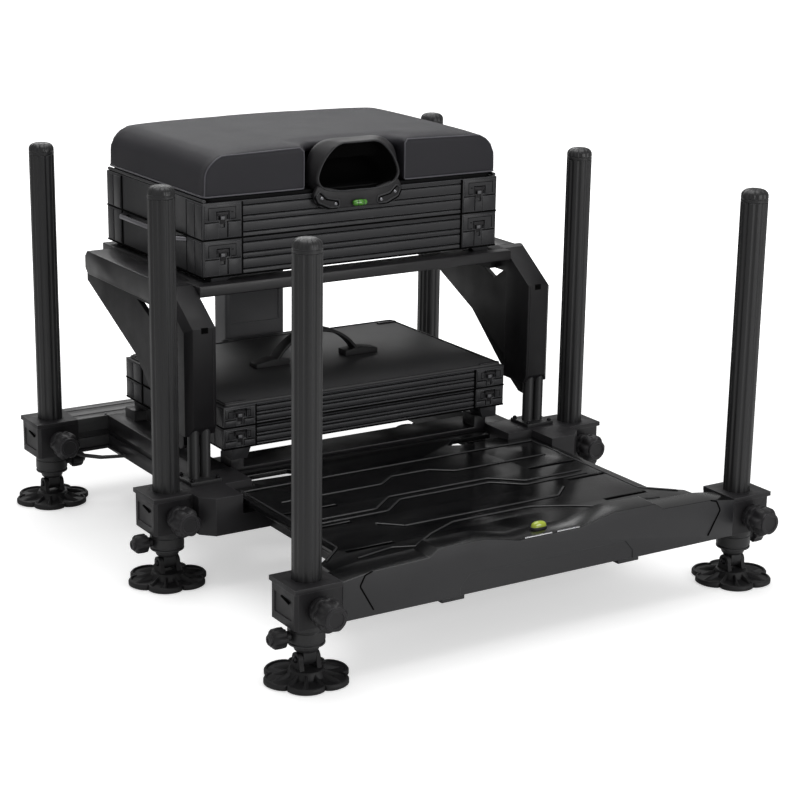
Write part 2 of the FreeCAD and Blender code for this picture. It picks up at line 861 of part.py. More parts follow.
def upper_rails():
    """Make the upper side rails and the two cross rails that carry the seat stack."""
    body = new_body("upper_rail")
    outer = sizes.upper_rail_outer
    inner = outer - sizes.upper_rail_width
    front = casing_back + head_length
    back = rear_y - sizes.upper_rail_rear
    bevel = sizes.upper_rail_bevel
    top = sizes.upper_level
    side_view = [(front, upper_bottom), (back - bevel, upper_bottom), (back, upper_bottom + bevel)]
    side_view += [(back, top - bevel), (back - bevel, top), (front, top)]
    pad(body, "YZ", inner, outer, side_view)
    both_sides("upper_side_rails", body)

    front_rail = new_body("front_cross")
    low = sizes.upper_level - sizes.front_cross_height
    face = seat_back - sizes.seat_depth - 20
    section = box_outline(face, face + sizes.front_cross_depth, low, top)
    pad(front_rail, "YZ", -sizes.casing_inner_face, sizes.casing_inner_face, section)

    rear_rail = new_body("rear_cross")
    edge = rear_y - 5
    section = box_outline(edge - sizes.rear_cross_depth, edge, upper_bottom, top)
    pad(rear_rail, "YZ", -inner, inner, section)
    group("upper_cross_rails", [front_rail, rear_rail])


# Footplate unit

def footplate():
    """Make the moulded footplate panel with its slots."""
    body = new_body("plate")
    rear = -sizes.plate_rear
    half = sizes.plate_width / 2
    front_half = sizes.plate_front_width / 2
    front = front_beam_back - middle_y
    tail = sizes.plate_tail
    tail_half = sizes.plate_tail_half
    neck = tail_half - 88
    right = [(tail_half, tail), (tail_half, tail / 2), (neck + 22, tail / 2), (neck, 2), (neck + 20, -6)]
    right += [(tail_half, -1), (tail_half + 7, rear), (half, rear), (half, -sizes.plate_flare_start)]
    right += [(front_half - 4, -sizes.plate_flare_end), (front_half, front)]
    plan = right + [(-x, y) for x, y in reversed(right)]
    pad(body, "XY", plate_bottom, sizes.plate_level, plan)
    side = float(half) - 0.01
    is_outer = lambda edge: runs_along(edge, "z") and abs(edge.BoundBox.XMin) > side
    round_edges(body, sizes.block_round, is_outer)
    slot_half = sizes.plate_slot_width / 2
    outer = half - 13
    slots = []
    for distance, length in ((145, 1.1), (212, 0.85), (304, 0.95)):
        inner = outer - sizes.plate_slot_length * length
        slot = box_outline(inner, outer, -distance - slot_half, -distance + slot_half)
        slots += [slot, mirrored(slot)]
    pocket(body, "XY", plate_bottom, sizes.plate_level, *slots)
    move_to(body, 0, middle_y)
    keep("footplate", body)


# The fascia's top edge from its end inwards: distance from the end, rise above the fascia's top
FASCIA_EDGE = ((0, -6), (26, -2), (41, 0), (122, 2))
FASCIA_HUMP = (135, 203)
FASCIA_MIDDLE = 256
# The recessed panel's corners: distance in from its end, rise above the beam's underside
FASCIA_PANEL = ((0, 0), (0, 11), (13, 26))


def front_beam():
    """Make the front beam with its stepped top edge, recessed panel, ledge and lugs."""
    body = new_body("fascia")
    low = sizes.block_bottom
    top = fascia_top
    hump = top + sizes.front_beam_hump
    half = block_face
    right = [(half, low)] + [(half - inset, top + rise) for inset, rise in FASCIA_EDGE]
    right += [(half - inset, hump) for inset in FASCIA_HUMP] + [(half - FASCIA_MIDDLE, top)]
    section = right + [(-x, z) for x, z in reversed(right)]
    pad(body, "XZ", front_beam_face, front_beam_back, section)
    ledge_half = half - sizes.front_ledge_inset
    ledge = box_outline(-ledge_half, ledge_half, low, plate_bottom)
    pad(body, "XZ", front_beam_back, front_beam_back + sizes.front_ledge_depth, ledge)
    panel_half = sizes.lug_spacing / 2 - sizes.front_panel_inset
    panel_right = [(panel_half - inset, low + rise) for inset, rise in FASCIA_PANEL]
    panel = panel_right + mirrored(reversed(panel_right))
    pocket(body, "XZ", front_beam_face, front_beam_face + sizes.front_panel_depth, panel)
    lug_half = sizes.lug_width / 2
    for side in SIDES.values():
        centre = side * sizes.lug_spacing / 2
        back = front_beam_back
        plan = box_outline(centre - lug_half, centre + lug_half, back - sizes.lug_depth, back)
        pad(body, "XY", low - sizes.lug_drop, low, plan)
    keep("front_beam", body)


def slide_bars():
    """Make the pair of bars that carry the front beam and slide in the channels."""
    body = new_body("slide_bar")
    gap = sizes.channel_wall + sizes.running_fit * 2
    outer = sizes.casting_inner - gap
    inner = sizes.casting_inner - sizes.channel_width + gap
    low = sizes.block_bottom + gap
    high = sizes.block_bottom + sizes.channel_height - gap
    front = front_beam_back + sizes.front_ledge_depth
    pad(body, "XZ", front, front + sizes.slide_length, box_outline(inner, outer, low, high))
    both_sides("slide_bars", body)


def spirit_level(label, width, x, y, z):
    """Make a small spirit level with its vial lying across the seat."""
    body = new_body("level")
    half = sizes.level_length / 2
    depth = width / 2
    pad(body, "XY", 0, sizes.level_height, box_outline(-half, half, -depth, depth))
    vial_radius = sizes.vial_diameter / 2
    pad(body, "YZ", -half + 3, half - 3, (0, sizes.level_height, vial_radius))
    move_to(body, x, y, z)
    keep(label, body)


# Stacks

class Unit:
    """The sizes that the trays of one stack share."""

    def __init__(self, width, depth, back, tier, casting_width, casting_depth):
        self.half = width / 2
        self.depth = depth
        self.back = back
        self.tier = tier
        self.casting_width = casting_width
        self.casting_depth = casting_depth

    def latch_x(self):
        """Return how far a latch stands from the middle."""
        return self.half - self.casting_width / 2

    def latch_z(self):
        """Return the height of the underside of a latch's head in its tier."""
        return self.tier * 0.64


seat_unit = Unit(sizes.seat_width, sizes.seat_depth, seat_back, sizes.seat_tier,
                 sizes.seat_casting_width, sizes.seat_casting_depth)
lower_unit = Unit(sizes.lower_width, sizes.lower_depth, lower_back, sizes.lower_tier,
                  sizes.lower_casting_width, sizes.lower_casting_depth)


def latch_outline(x, z, gap, travel):
    """Return the T of a latch, or of its slot when it has a gap and a travel."""
    head = sizes.latch_head_width / 2 + gap
    stem = sizes.latch_stem_width / 2 + gap
    top = z + sizes.latch_head_height + gap
    bottom = z - sizes.latch_stem_height - gap - travel
    shoulder = z - gap - travel
    return [(x - head, top), (x - head, shoulder), (x - stem, shoulder), (x - stem, bottom),
            (x + stem, bottom), (x + stem, shoulder), (x + head, shoulder), (x + head, top)]


def tray(label, unit, bottom, foot=None, cover=False):
    """Make one open tray with corner castings, ribbed front and back, latch slots and feet."""
    body = new_body("tray")
    proud = sizes.casting_proud
    half = unit.half
    depth = unit.depth
    walls = box_outline(-half + proud, half - proud, -depth + proud, -proud)
    pad(body, "XY", 0, unit.tier, walls)
    corners = []
    for side in SIDES.values():
        inner = side * (half - unit.casting_width)
        for low, high in ((-depth, -depth + unit.casting_depth), (-unit.casting_depth, 0)):
            corners.append(box_outline(inner, side * half, low, high))
    pad(body, "XY", 0, unit.tier, *corners)
    wall = sizes.tray_wall
    hollow = box_outline(-half + wall, half - wall, -depth + wall, -wall)
    pocket(body, "XY", sizes.tray_floor, unit.tier, hollow)
    rib_half = half - unit.casting_width
    groove = sizes.rib_groove / 2
    ribs = []
    for share in (0.14, 0.42, 0.58, 0.86):
        middle = unit.tier * share
        ribs.append(box_outline(-rib_half, rib_half, middle - groove, middle + groove))
    pocket(body, "XZ", -depth, -depth + proud * 2, *ribs)
    pocket(body, "XZ", -proud * 2, 0, *ribs)
    slots = []
    for side in SIDES.values():
        slots.append(latch_outline(side * unit.latch_x(), unit.latch_z(), sizes.latch_gap,
                                   sizes.latch_travel))
    pocket(body, "XZ", -depth, -depth + sizes.latch_thickness + sizes.seat_gap, *slots)
    if foot:
        add_feet(body, unit, foot)
    if cover:
        add_hinge_pin(body, unit)
    move_to(body, 0, unit.back, bottom)
    keep(label, body)


def add_feet(body, unit, foot):
    """Add four tapered feet under the corner castings."""
    outer = unit.half - 12
    inner = outer - foot_width
    slope = foot_width * 0.2
    right = [(inner, 0), (outer, 0), (outer, -foot), (inner + slope, -foot)]
    for low in (-unit.depth, -foot_depth):
        pad(body, "XZ", low, low + foot_depth, right, mirrored(right))


def add_hinge_pin(body, unit):
    """Add the two ears and the pin behind a tray's back wall, on which its cover turns."""
    half = sizes.hinge_length / 2
    top = unit.tier
    reach = sizes.hinge_reach
    radius = sizes.hinge_diameter / 2
    wall = -sizes.tray_wall / 2
    low = top - sizes.hinge_drop
    knuckle = [(wall, low), (reach, low), (reach + radius, top - radius)]
    knuckle += [(reach + radius, top + radius / 2), (reach + radius / 2, top + radius)]
    knuckle += [(reach - radius / 2, top + radius), (reach - radius, top), (wall, top)]
    for side in SIDES.values():
        pad(body, "YZ", side * half, side * (half + sizes.hinge_ear), knuckle)
    pad(body, "YZ", -half - 1, half + 1, (sizes.hinge_reach, top, sizes.hinge_pin_diameter / 2))


def add_hinge_barrel(body, inset, thickness):
    """Add the barrel that turns on the pin to the rear edge of a cover."""
    half = sizes.hinge_length / 2 - sizes.seat_gap
    barrel = lobed_outline(8, [(sizes.hinge_diameter / 2, 0.5)])
    pad(body, "YZ", -half, half, [(sizes.hinge_reach + y, z) for y, z in barrel])
    pad(body, "YZ", -half, half, box_outline(-inset - 1, sizes.hinge_reach, 0, thickness))
    bore = (sizes.hinge_reach, 0, sizes.hinge_pin_diameter / 2 + sizes.running_fit)
    pocket(body, "YZ", -half, half, bore)


def latches(prefix, unit, bottom):
    """Make the two latches of a tray, each sliding down to let the tray go."""
    for side_name, side in SIDES.items():
        body = new_body("latch")
        pad(body, "XZ", 0, sizes.latch_thickness, latch_outline(0, 0, 0, 0))
        ridge = sizes.latch_head_width / 2 - 1
        grip = box_outline(-ridge, ridge, 1, sizes.latch_head_height - 1)
        pad(body, "XZ", -1.2, 0, grip)
        move_to(body, side * unit.latch_x(), unit.back - unit.depth, bottom + unit.latch_z())
        keep(f"{prefix}_latch_{side_name}", body)


def seat_stack():
    """Make the two seat trays, their latches, the carry handles and the seat base."""
    upper = seat_bottom + sizes.seat_tier
    tray("seat_tray_bottom", seat_unit, seat_bottom, sizes.seat_foot)
    tray("seat_tray_top", seat_unit, upper, cover=True)
    latches("seat_bottom", seat_unit, seat_bottom)
    latches("seat_top", seat_unit, upper)

    for side_name, side in SIDES.items():
        body = new_body("grip")
        wall = side * (seat_unit.half - sizes.casting_proud)
        reach = side * (seat_unit.half - sizes.casting_proud + sizes.handle_reach)
        half = seat_unit.depth / 2 - seat_unit.casting_depth - sizes.handle_gap
        z = upper - sizes.handle_height * 1.5
        top = z + sizes.handle_height
        inset = side * 5
        plan = [(wall, -half), (reach, -half + 12), (reach, half - 12), (wall, half)]
        pad(body, "XY", z, top, plan)
        gap = [(wall - inset, -half + 14), (reach - inset, -half + 22), (reach - inset, half - 22)]
        gap += [(wall - inset, half - 14)]
        pocket(body, "XY", z, top, gap)
        move_to(body, 0, seat_back - sizes.seat_depth / 2, 0)
        keep(f"side_handle_{side_name}", body)

    base = new_body("base")
    half = seat_unit.half - sizes.base_inset
    rear = -sizes.base_inset
    front = -sizes.seat_depth + sizes.base_inset
    pad(base, "XY", 0, sizes.base_thickness, box_outline(-half, half, front, rear))
    round_edges(base, sizes.cushion_corner / 2, lambda edge: runs_along(edge, "z"))
    add_hinge_barrel(base, sizes.base_inset, sizes.base_thickness)
    move_to(base, 0, seat_back, base_bottom)
    keep("seat_base", base)


def rounded_rectangle(half_x, half_y, radius, z):
    """Return the points of a level rectangle whose corners are rounded in four short lines."""
    x, y = half_x - radius, half_y - radius
    points = []
    for corner, (cx, cy) in enumerate([(x, y), (-x, y), (-x, -y), (x, -y)]):
        for step in range(5):
            angle = math.radians(90 * corner + 22.5 * step)
            points.append(FreeCAD.Vector(cx + radius * math.cos(angle), cy + radius * math.sin(angle), z))
    return points


def flat_loft(rings):
    """Join rings of points by flat faces into a closed solid."""
    faces = [Part.Face(Part.makePolygon(ring + ring[:1])) for ring in (rings[0], rings[-1])]
    for lower, upper in zip(rings, rings[1:]):
        for a, b, c, d in zip(lower, lower[1:] + lower[:1], upper[1:] + upper[:1], upper):
            faces.append(Part.Face(Part.makePolygon([a, b, c, a])))
            faces.append(Part.Face(Part.makePolygon([a, c, d, a])))
    solid = Part.Solid(Part.Shell(faces))
    if solid.Volume < 0:
        solid.reverse()
    return solid


def cushion():
    """Make the seat cushion with drawn-in sides, a crown and a bay for the pole rest."""
    half_x = float(seat_unit.half - sizes.cushion_inset)
    half_y = float(sizes.seat_depth / 2 - sizes.cushion_inset)
    height = float(sizes.cushion_height - sizes.seat_gap)
    rounding = float(sizes.cushion_round)
    crown = float(sizes.cushion_crown)
    shoulder = height - crown - rounding
    rings = [(rounding * 0.06, 0), (0, shoulder * 0.6)]
    for step in range(1, 4):
        angle = math.radians(90 * step / 3.5)
        rings.append((rounding * (1 - math.cos(angle)), shoulder + rounding * math.sin(angle)))
    rings.append((rounding * 2.4, height))
    outlines = []
    for inset, z in rings:
        radius = max(float(sizes.cushion_corner) - inset * 0.3, 4)
        outlines.append(rounded_rectangle(half_x - inset, half_y - inset, radius, z))
    solid = flat_loft(outlines)
    bay_half = float(sizes.rest_width / 2 + sizes.rest_clearance)
    bay_depth = float(sizes.rest_depth + sizes.rest_clearance)
    bay = Part.makeBox(bay_half * 2, bay_depth, height * 2)
    front = -float(sizes.seat_depth) / 2 - float(sizes.rest_apron_thickness)
    bay.translate(FreeCAD.Vector(-bay_half, front, -height / 2))
    piece = doc.addObject("Part::Feature", "cushion")
    piece.Shape = solid.cut(bay)
    move_to(piece, 0, seat_back - sizes.seat_depth / 2, base_top + sizes.seat_gap)
    keep("seat_cushion", piece)


# The mouth's right half: shares of its half width and of its height
REST_MOUTH = ((0.42, 0), (1, 0.13), (1, 0.3), (0.84, 0.66), (0.54, 1))


def pole_rest():
    """Make the pole-butt rest: an arched cup in the cushion's bay with an apron over the front."""
    body = new_body("rest")
    half = sizes.rest_width / 2
    face = -sizes.seat_depth - sizes.rest_apron_thickness
    back = face + sizes.rest_depth
    low = sizes.base_thickness
    pad(body, "XZ", face, back, box_outline(-half, half, low, low + sizes.rest_height))
    top = float(low + sizes.rest_height)
    round_edges(body, sizes.rest_round,
                lambda edge: runs_along(edge, "y") and edge.BoundBox.ZMin > top - 0.01)
    apron = [(-half, low), (-half + 10, -sizes.rest_apron_drop + 8), (-half + 24, -sizes.rest_apron_drop)]
    apron += [(half - 24, -sizes.rest_apron_drop), (half - 10, -sizes.rest_apron_drop + 8), (half, low)]
    pad(body, "XZ", face, -sizes.seat_depth - sizes.seat_gap, apron)
    reach = sizes.rest_mouth_width / 2
    floor = low + sizes.rest_floor
    right = [(reach * across, floor + sizes.rest_mouth_height * up) for across, up in REST_MOUTH]
    mouth = right + mirrored(reversed(right))
    pocket(body, "XZ", face, face + sizes.rest_mouth_depth, mouth)
    move_to(body, 0, seat_back, base_bottom)
    keep("pole_rest", body)


def lower_stack():
    """Make the two lower trays, their latches, the lid and its strap handle."""
    upper = sizes.lower_bottom + sizes.lower_tier
    tray("lower_tray_bottom", lower_unit, sizes.lower_bottom, sizes.lower_foot - sizes.seat_gap)
    tray("lower_tray_top", lower_unit, upper, cover=True)
    latches("lower_bottom", lower_unit, sizes.lower_bottom)
    latches("lower_top", lower_unit, upper)

    lid = new_body("lid")
    half = lower_unit.half - sizes.lid_inset
    front = -sizes.lower_depth + sizes.lid_inset
    pad(lid, "XY", 0, sizes.lid_thickness, box_outline(-half, half, front, -sizes.lid_inset))
    round_edges(lid, sizes.block_round, lambda edge: runs_along(edge, "z"))
    add_hinge_barrel(lid, sizes.lid_inset, sizes.lid_thickness)
    move_to(lid, 0, lower_back, lid_bottom)
    keep("lower_lid", lid)


def strap_handle():
    """Make the arched strap of the lid with its two lugs."""
    body = new_body("strap")
    half = sizes.strap_span / 2
    rise = sizes.strap_rise
    outer = (half * half + rise * rise) / (rise * 2)
    centre = rise - outer
    inner = outer - sizes.strap_thickness
    width = sizes.strap_width / 2
    pad(body, "XZ", -width, width, (0, centre, outer))
    pocket(body, "XZ", -width, width, (0, centre, inner))
    pocket(body, "XZ", -width, width, box_outline(-outer - 1, outer + 1, centre - outer - 1, 0))
    lug_half = sizes.strap_lug_length / 2
    lug_top = sizes.strap_lug_height
    for side in SIDES.values():
        start = side * (half - lug_half)
        end = side * (half + lug_half)
        lug = [(start, 0), (end, 0), (end, lug_top * 0.8), (side * half, lug_top * 1.3), (start, lug_top)]
        pad(body, "XZ", -width, width, lug)
    y = lower_back - sizes.strap_set_back
    move_to(body, 0, y, lid_bottom + sizes.lid_thickness)
    keep("lid_handle", body)


def check_shapes():
    """Stop if anything failed, a cut removed nothing or a sub-part is not valid."""
    for item in doc.Objects:
        if "Invalid" in item.State or "Error" in item.State:
            raise RuntimeError(f"{item.Name} of {item.Label} failed: {item.State}")
    for cut in cuts:
        before = cut.BaseFeature.Shape.Volume
        if cut.Shape.Volume > before - 1e-3:
            raise RuntimeError(f"{cut.Name} removes nothing from {cut.getParentGeoFeatureGroup().Label}")
    for label, piece in nodes.items():
        if piece.Shape.isNull() or not piece.Shape.isValid():
            raise RuntimeError(f"{label} has no valid shape")


build_legs()
build_clamp_blocks()
rear_beam()
side_rails()
middle_bar()
slide_channels()
rear_post()
upright_columns()
side_brackets()
upper_rails()
footplate()
front_beam()
slide_bars()
plate_level_y = front_beam_back - sizes.level_width
spirit_level("footplate_level", sizes.level_width, 0, plate_level_y, fascia_top)
seat_stack()
cushion()
pole_rest()
lower_stack()
strap_handle()
rest_level_y = seat_back - sizes.seat_depth - sizes.rest_apron_thickness - sizes.rest_level_width / 2
rest_level_z = base_bottom - sizes.rest_apron_drop + 2
spirit_level("pole_rest_level", sizes.rest_level_width, 0, rest_level_y, rest_level_z)
doc.recompute()
check_shapes()

os.makedirs("parts", exist_ok=True)
triangles = 0
for label, piece in nodes.items():
    triangles += len(piece.Shape.tessellate(0.1)[1])
    piece.Shape.exportStep(f"parts/{label}.step")
print(f"{len(nodes)} nodes, {triangles} triangles")
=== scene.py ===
"""Looks of a fishing seat box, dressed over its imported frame."""

from __future__ import annotations

import json
import logging
import math
from dataclasses import dataclass
from enum import Enum
from typing import Callable, Sequence

import bmesh
import bpy
from mathutils import Matrix, Vector
from mathutils.bvhtree import BVHTree


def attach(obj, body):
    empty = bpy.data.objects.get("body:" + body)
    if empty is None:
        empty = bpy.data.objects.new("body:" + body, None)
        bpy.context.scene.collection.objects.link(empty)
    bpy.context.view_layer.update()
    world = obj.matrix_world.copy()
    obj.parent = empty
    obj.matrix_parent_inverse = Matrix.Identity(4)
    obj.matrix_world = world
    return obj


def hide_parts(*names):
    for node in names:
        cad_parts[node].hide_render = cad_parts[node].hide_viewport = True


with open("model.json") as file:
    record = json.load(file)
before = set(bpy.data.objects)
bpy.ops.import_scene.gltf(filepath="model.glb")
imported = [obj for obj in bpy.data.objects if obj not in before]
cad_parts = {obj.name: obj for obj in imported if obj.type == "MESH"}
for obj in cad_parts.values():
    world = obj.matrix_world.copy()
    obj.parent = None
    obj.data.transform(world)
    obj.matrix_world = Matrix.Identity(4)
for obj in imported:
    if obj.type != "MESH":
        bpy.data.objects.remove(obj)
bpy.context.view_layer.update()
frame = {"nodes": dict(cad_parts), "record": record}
LOG = logging.getLogger("seat_box")
MM = 0.001
Point = tuple[float, float, float]
Flat = tuple[float, float]
Place = Callable[[float, float, float], Point]
Piece = bpy.types.Object
Work = bmesh.types.BMesh
Tree = bpy.types.NodeTree
Socket = bpy.types.NodeSocket


# Materials

class Grain(Enum):
    """The ways that a surface was made."""

    PEEL = "powder coat with a fine orange peel"
    SPARK = "moulding from a spark-eroded tool"
    DRAWN = "extrusion with lines along its length"
    HIDE = "embossed leather cloth"
    POLISHED = "polished tool face"


@dataclass(frozen=True)
class Finish:
    """One finish of the object.

    Args:
        name: The material's name.
        colour: Its main sRGB colour.
        shade: The sRGB colour that it varies towards.
        roughness: Its mean roughness.
        spread: How far the roughness varies.
        grain: How the surface was made.
        grain_mm: The size of the grain's features.
        depth_mm: The depth of the grain.
        metallic: 1 for bare metal.
        coat: The weight of a clear coat.
        edge: How much an edge is painted lighter, as painted highlight and rubbed wear.
        run: The axis that a drawn surface's lines follow, 0, 1 or 2.
        sheen: The level of its mirror reflection, 0.5 for common plastics.
        tops: The sRGB colour of its upward faces, where they are made glossy.
    """

    name: str
    colour: str
    shade: str
    roughness: float
    spread: float
    grain: Grain
    grain_mm: float
    depth_mm: float
    metallic: float = 0.0
    coat: float = 0.0
    edge: float = 0.0
    run: int = 2
    sheen: float = 0.5
    tops: str = ""


# Powder coat over aluminium: satin, with a shallow orange peel that breaks up long reflections
POWDER_COAT = Finish("powder_coated_aluminium", "#171618", "#1e1d1f", 0.36, 0.08, Grain.PEEL, 1.4, 0.05,
                     edge=0.9)
# The beam has the same coat on its face; its upward faces carry the plate's gloss skin
BEAM_COAT = Finish("powder_coated_beam", "#202022", "#272729", 0.38, 0.08, Grain.PEEL, 1.4, 0.05, edge=0.9,
                   tops="#0e0e0f")
# The casings are the same nylon as the blocks, painted darker as painted shade on their dim flanks, so that
# they stay quiet beside them
CASING = Finish("moulded_nylon_casing", "#161517", "#1b1a1c", 0.46, 0.08, Grain.SPARK, 0.8, 0.05, edge=0.8,
                sheen=0.26)
# The rear panel is painted greyer as painted light: a flat moulding whose front catches light between the
# trays
PANEL = Finish("moulded_nylon_panel", "#4a4a4c", "#525254", 0.55, 0.08, Grain.SPARK, 0.9, 0.05, edge=0.5)
# Black anodising over drawn tube: dark satin metal sheen, with faint lines along the draw
ANODISED = Finish("black_anodised_tube", "#1e1e1f", "#262627", 0.40, 0.08, Grain.DRAWN, 0.8, 0.04, edge=0.4)
# The same anodising on the long cross extrusions, whose lines run across the seat
ANODISED_CROSS = Finish("black_anodised_extrusion", "#242425", "#2c2c2d", 0.38, 0.08, Grain.DRAWN, 0.8, 0.04,
                        edge=0.5, run=0)
# The cushion's base board: dull black paint, made darker still as painted shade under the padding
BASE_BOARD = Finish("black_base_board", "#060607", "#0a0a0b", 0.70, 0.06, Grain.PEEL, 1.2, 0.04, sheen=0.15)
# Glass-filled nylon from a spark-eroded tool: matt, slightly mottled, painted greyer at its edges as painted
# highlight and rubbed wear
NYLON = Finish("glass_filled_nylon", "#1c1b1d", "#242325", 0.50, 0.10, Grain.SPARK, 0.8, 0.06, edge=0.9,
               sheen=0.36)
# The corner castings have the same nylon with a finer tool face
NYLON_CORNER = Finish("moulded_nylon_corner", "#29292b", "#313133", 0.44, 0.08, Grain.SPARK, 0.7, 0.05,
                      edge=1.0, sheen=0.4)
# Where fingers draw the latches the nylon wears paler and smooth; the noses are painted paler still as a
# painted highlight
WORN_AND_HIGHLIGHT_NYLON = Finish("worn_and_highlight_nylon_latch", "#5a5a5d", "#6a6a6d", 0.34, 0.06, Grain.PEEL, 0.6, 0.02)
# Gloss ABS: a polished tool leaves a mirror with long soft waves
GLOSS_PLATE = Finish("gloss_black_abs", "#060607", "#0b0b0c", 0.20, 0.07, Grain.POLISHED, 26.0, 0.05)
# The plate's raised lines are painted a paler satin as the painted highlight along their tops
GLOSS_RIDGE = Finish("gloss_abs_painted_highlight", "#2a2a2b", "#353536", 0.22, 0.07, Grain.POLISHED, 20.0, 0.03)
# The lid's sheet is a duller plastic that spreads the light of the lamps softly, painted paler as a painted
# reflection of the pale studio behind
GLOSS_LID = Finish("satin_black_lid", "#39393a", "#3d3d3e", 0.52, 0.02, Grain.POLISHED, 60.0, 0.004)
# Leather cloth: satin PVC with an embossed hide grain, even in colour so that only its form shows
LEATHER = Finish("black_leather_cloth", "#252429", "#28272c", 0.58, 0.02, Grain.HIDE, 1.5, 0.09, sheen=0.36)
# The piping is the same cloth pulled tight over a cord, so it is smoother; it is painted paler as the
# painted highlight along the cord
PIPING = Finish("leather_cloth_piping", "#4b4a50", "#56555b", 0.40, 0.06, Grain.PEEL, 0.8, 0.03)
# Satin aluminium: bare extrusion with fine lines along the bar
SATIN_METAL = Finish("satin_aluminium", "#77767a", "#858488", 0.36, 0.08, Grain.DRAWN, 0.6, 0.03,
                     metallic=1.0, run=1)
# Bright trim: polished strip that mirrors the studio, laid where highlights run along the beam's hump, so
# partly painted highlight
TRIM = Finish("polished_aluminium_trim", "#b9b9bb", "#c6c6c8", 0.16, 0.04, Grain.DRAWN, 0.6, 0.01,
              metallic=1.0, run=0)
# Rubber: matt, dusty in its pits
RUBBER = Finish("black_rubber", "#0f0e10", "#171618", 0.62, 0.08, Grain.SPARK, 1.0, 0.06, edge=0.3)
# The rest's lining is dull foam that swallows light; the same near-black also draws the dark lines of
# painted shade in slots, grooves, seams and joints, and the painted shadows beside the plate's ridges and
# the rest's wings
FOAM_AND_PAINTED_SHADE = Finish("black_foam_and_painted_shade", "#020202", "#050505", 0.9, 0.05, Grain.SPARK, 1.6, 0.15, sheen=0.08)
# Zinc-plated steel screws: bright grey with a brushed head
ZINC_STEEL = Finish("zinc_plated_steel", "#8b8b8f", "#a2a2a6", 0.28, 0.06, Grain.PEEL, 0.6, 0.02,
                    metallic=1.0)
# Black-oxide screws: dark satin steel with a trace of oil
BLACK_STEEL = Finish("black_oxide_steel", "#2c2b2d", "#3a393b", 0.34, 0.08, Grain.PEEL, 0.7, 0.02,
                     metallic=1.0)
# The vial's acrylic: clear, saturated green under a hard gloss
VIAL_GREEN = Finish("green_vial_acrylic", "#3d8420", "#62a838", 0.08, 0.02, Grain.POLISHED, 6.0, 0.01,
                    coat=1.0)
# The footplate's vial holds a yellower liquid
VIAL = Finish("lime_vial_acrylic", "#a9bd30", "#c0cf45", 0.08, 0.02, Grain.POLISHED, 6.0, 0.01, coat=1.0)
MADE: dict[str, bpy.types.Material] = {}
# The slow clouds of tint and roughness per metre, how much paler than its shade an edge is painted as
# highlight and rubbed wear, the radius that counts as such an edge, and the roughness of glossy upward faces
CLOUD_SCALE, EDGE_HIGHLIGHT_AND_WEAR_GAIN, EDGE_HIGHLIGHT_AND_WEAR_RADIUS, GLOSSY_TOP = 22.0, 4.5, 1.0 * MM, 0.2


def linear(colour: str) -> tuple[float, float, float, float]:
    """Turn an sRGB hex colour to linear.

    Args:
        colour: The colour as #rrggbb.

    Returns:
        Its linear red, green and blue, with an alpha of 1.
    """
    shares = [int(colour[i:i + 2], 16) / 255 for i in (1, 3, 5)]
    red, green, blue = [s / 12.92 if s <= 0.04045 else ((s + 0.055) / 1.055) ** 2.4 for s in shares]
    return red, green, blue, 1.0


def add_node(tree: Tree, kind: str, sockets: dict | None = None, **settings: str | int) -> bpy.types.Node:
    """Add a node to a tree.

    Args:
        tree: The tree.
        kind: The node's type.
        sockets: Values, or output sockets to link, by input name or index.
        settings: The node's own properties by name.

    Returns:
        The node.
    """
    node = tree.nodes.new(kind)
    for key, value in settings.items():
        setattr(node, key, value)
    for key, value in (sockets or {}).items():
        socket = node.inputs[key]
        if isinstance(value, Socket):
            tree.links.new(value, socket)
        else:
            socket.default_value = value
    return node


def grain_height(tree: Tree, finish: Finish, place: Socket) -> Socket:
    """Add the pattern of a finish.

    Args:
        tree: The material's tree.
        finish: The finish.
        place: Object coordinates in metres.

    Returns:
        The pattern's height from 0 to 1.
    """
    per_metre = 1 / (finish.grain_mm * MM)
    if finish.grain is Grain.HIDE:
        cells = add_node(tree, "ShaderNodeTexVoronoi",
                         {"Vector": place, "Scale": per_metre, "Randomness": 0.9},
                         feature="DISTANCE_TO_EDGE")
        ridge = add_node(tree, "ShaderNodeMapRange", {"Value": cells.outputs["Distance"], "From Max": 0.22})
        return ridge.outputs["Result"]
    if finish.grain is Grain.DRAWN:
        stretch = [1.0, 1.0, 1.0]
        stretch[finish.run] = 0.01
        drawn = add_node(tree, "ShaderNodeMapping", {"Vector": place, "Scale": stretch})
        lines = add_node(tree, "ShaderNodeTexNoise",
                         {"Vector": drawn.outputs["Vector"], "Scale": per_metre, "Detail": 3.0})
        return lines.outputs["Fac"]
    detail = {Grain.PEEL: 1.0, Grain.SPARK: 4.0, Grain.POLISHED: 0.0}[finish.grain]
    bumps = add_node(tree, "ShaderNodeTexNoise",
                     {"Vector": place, "Scale": per_metre, "Detail": detail, "Roughness": 0.6})
    return bumps.outputs["Fac"]


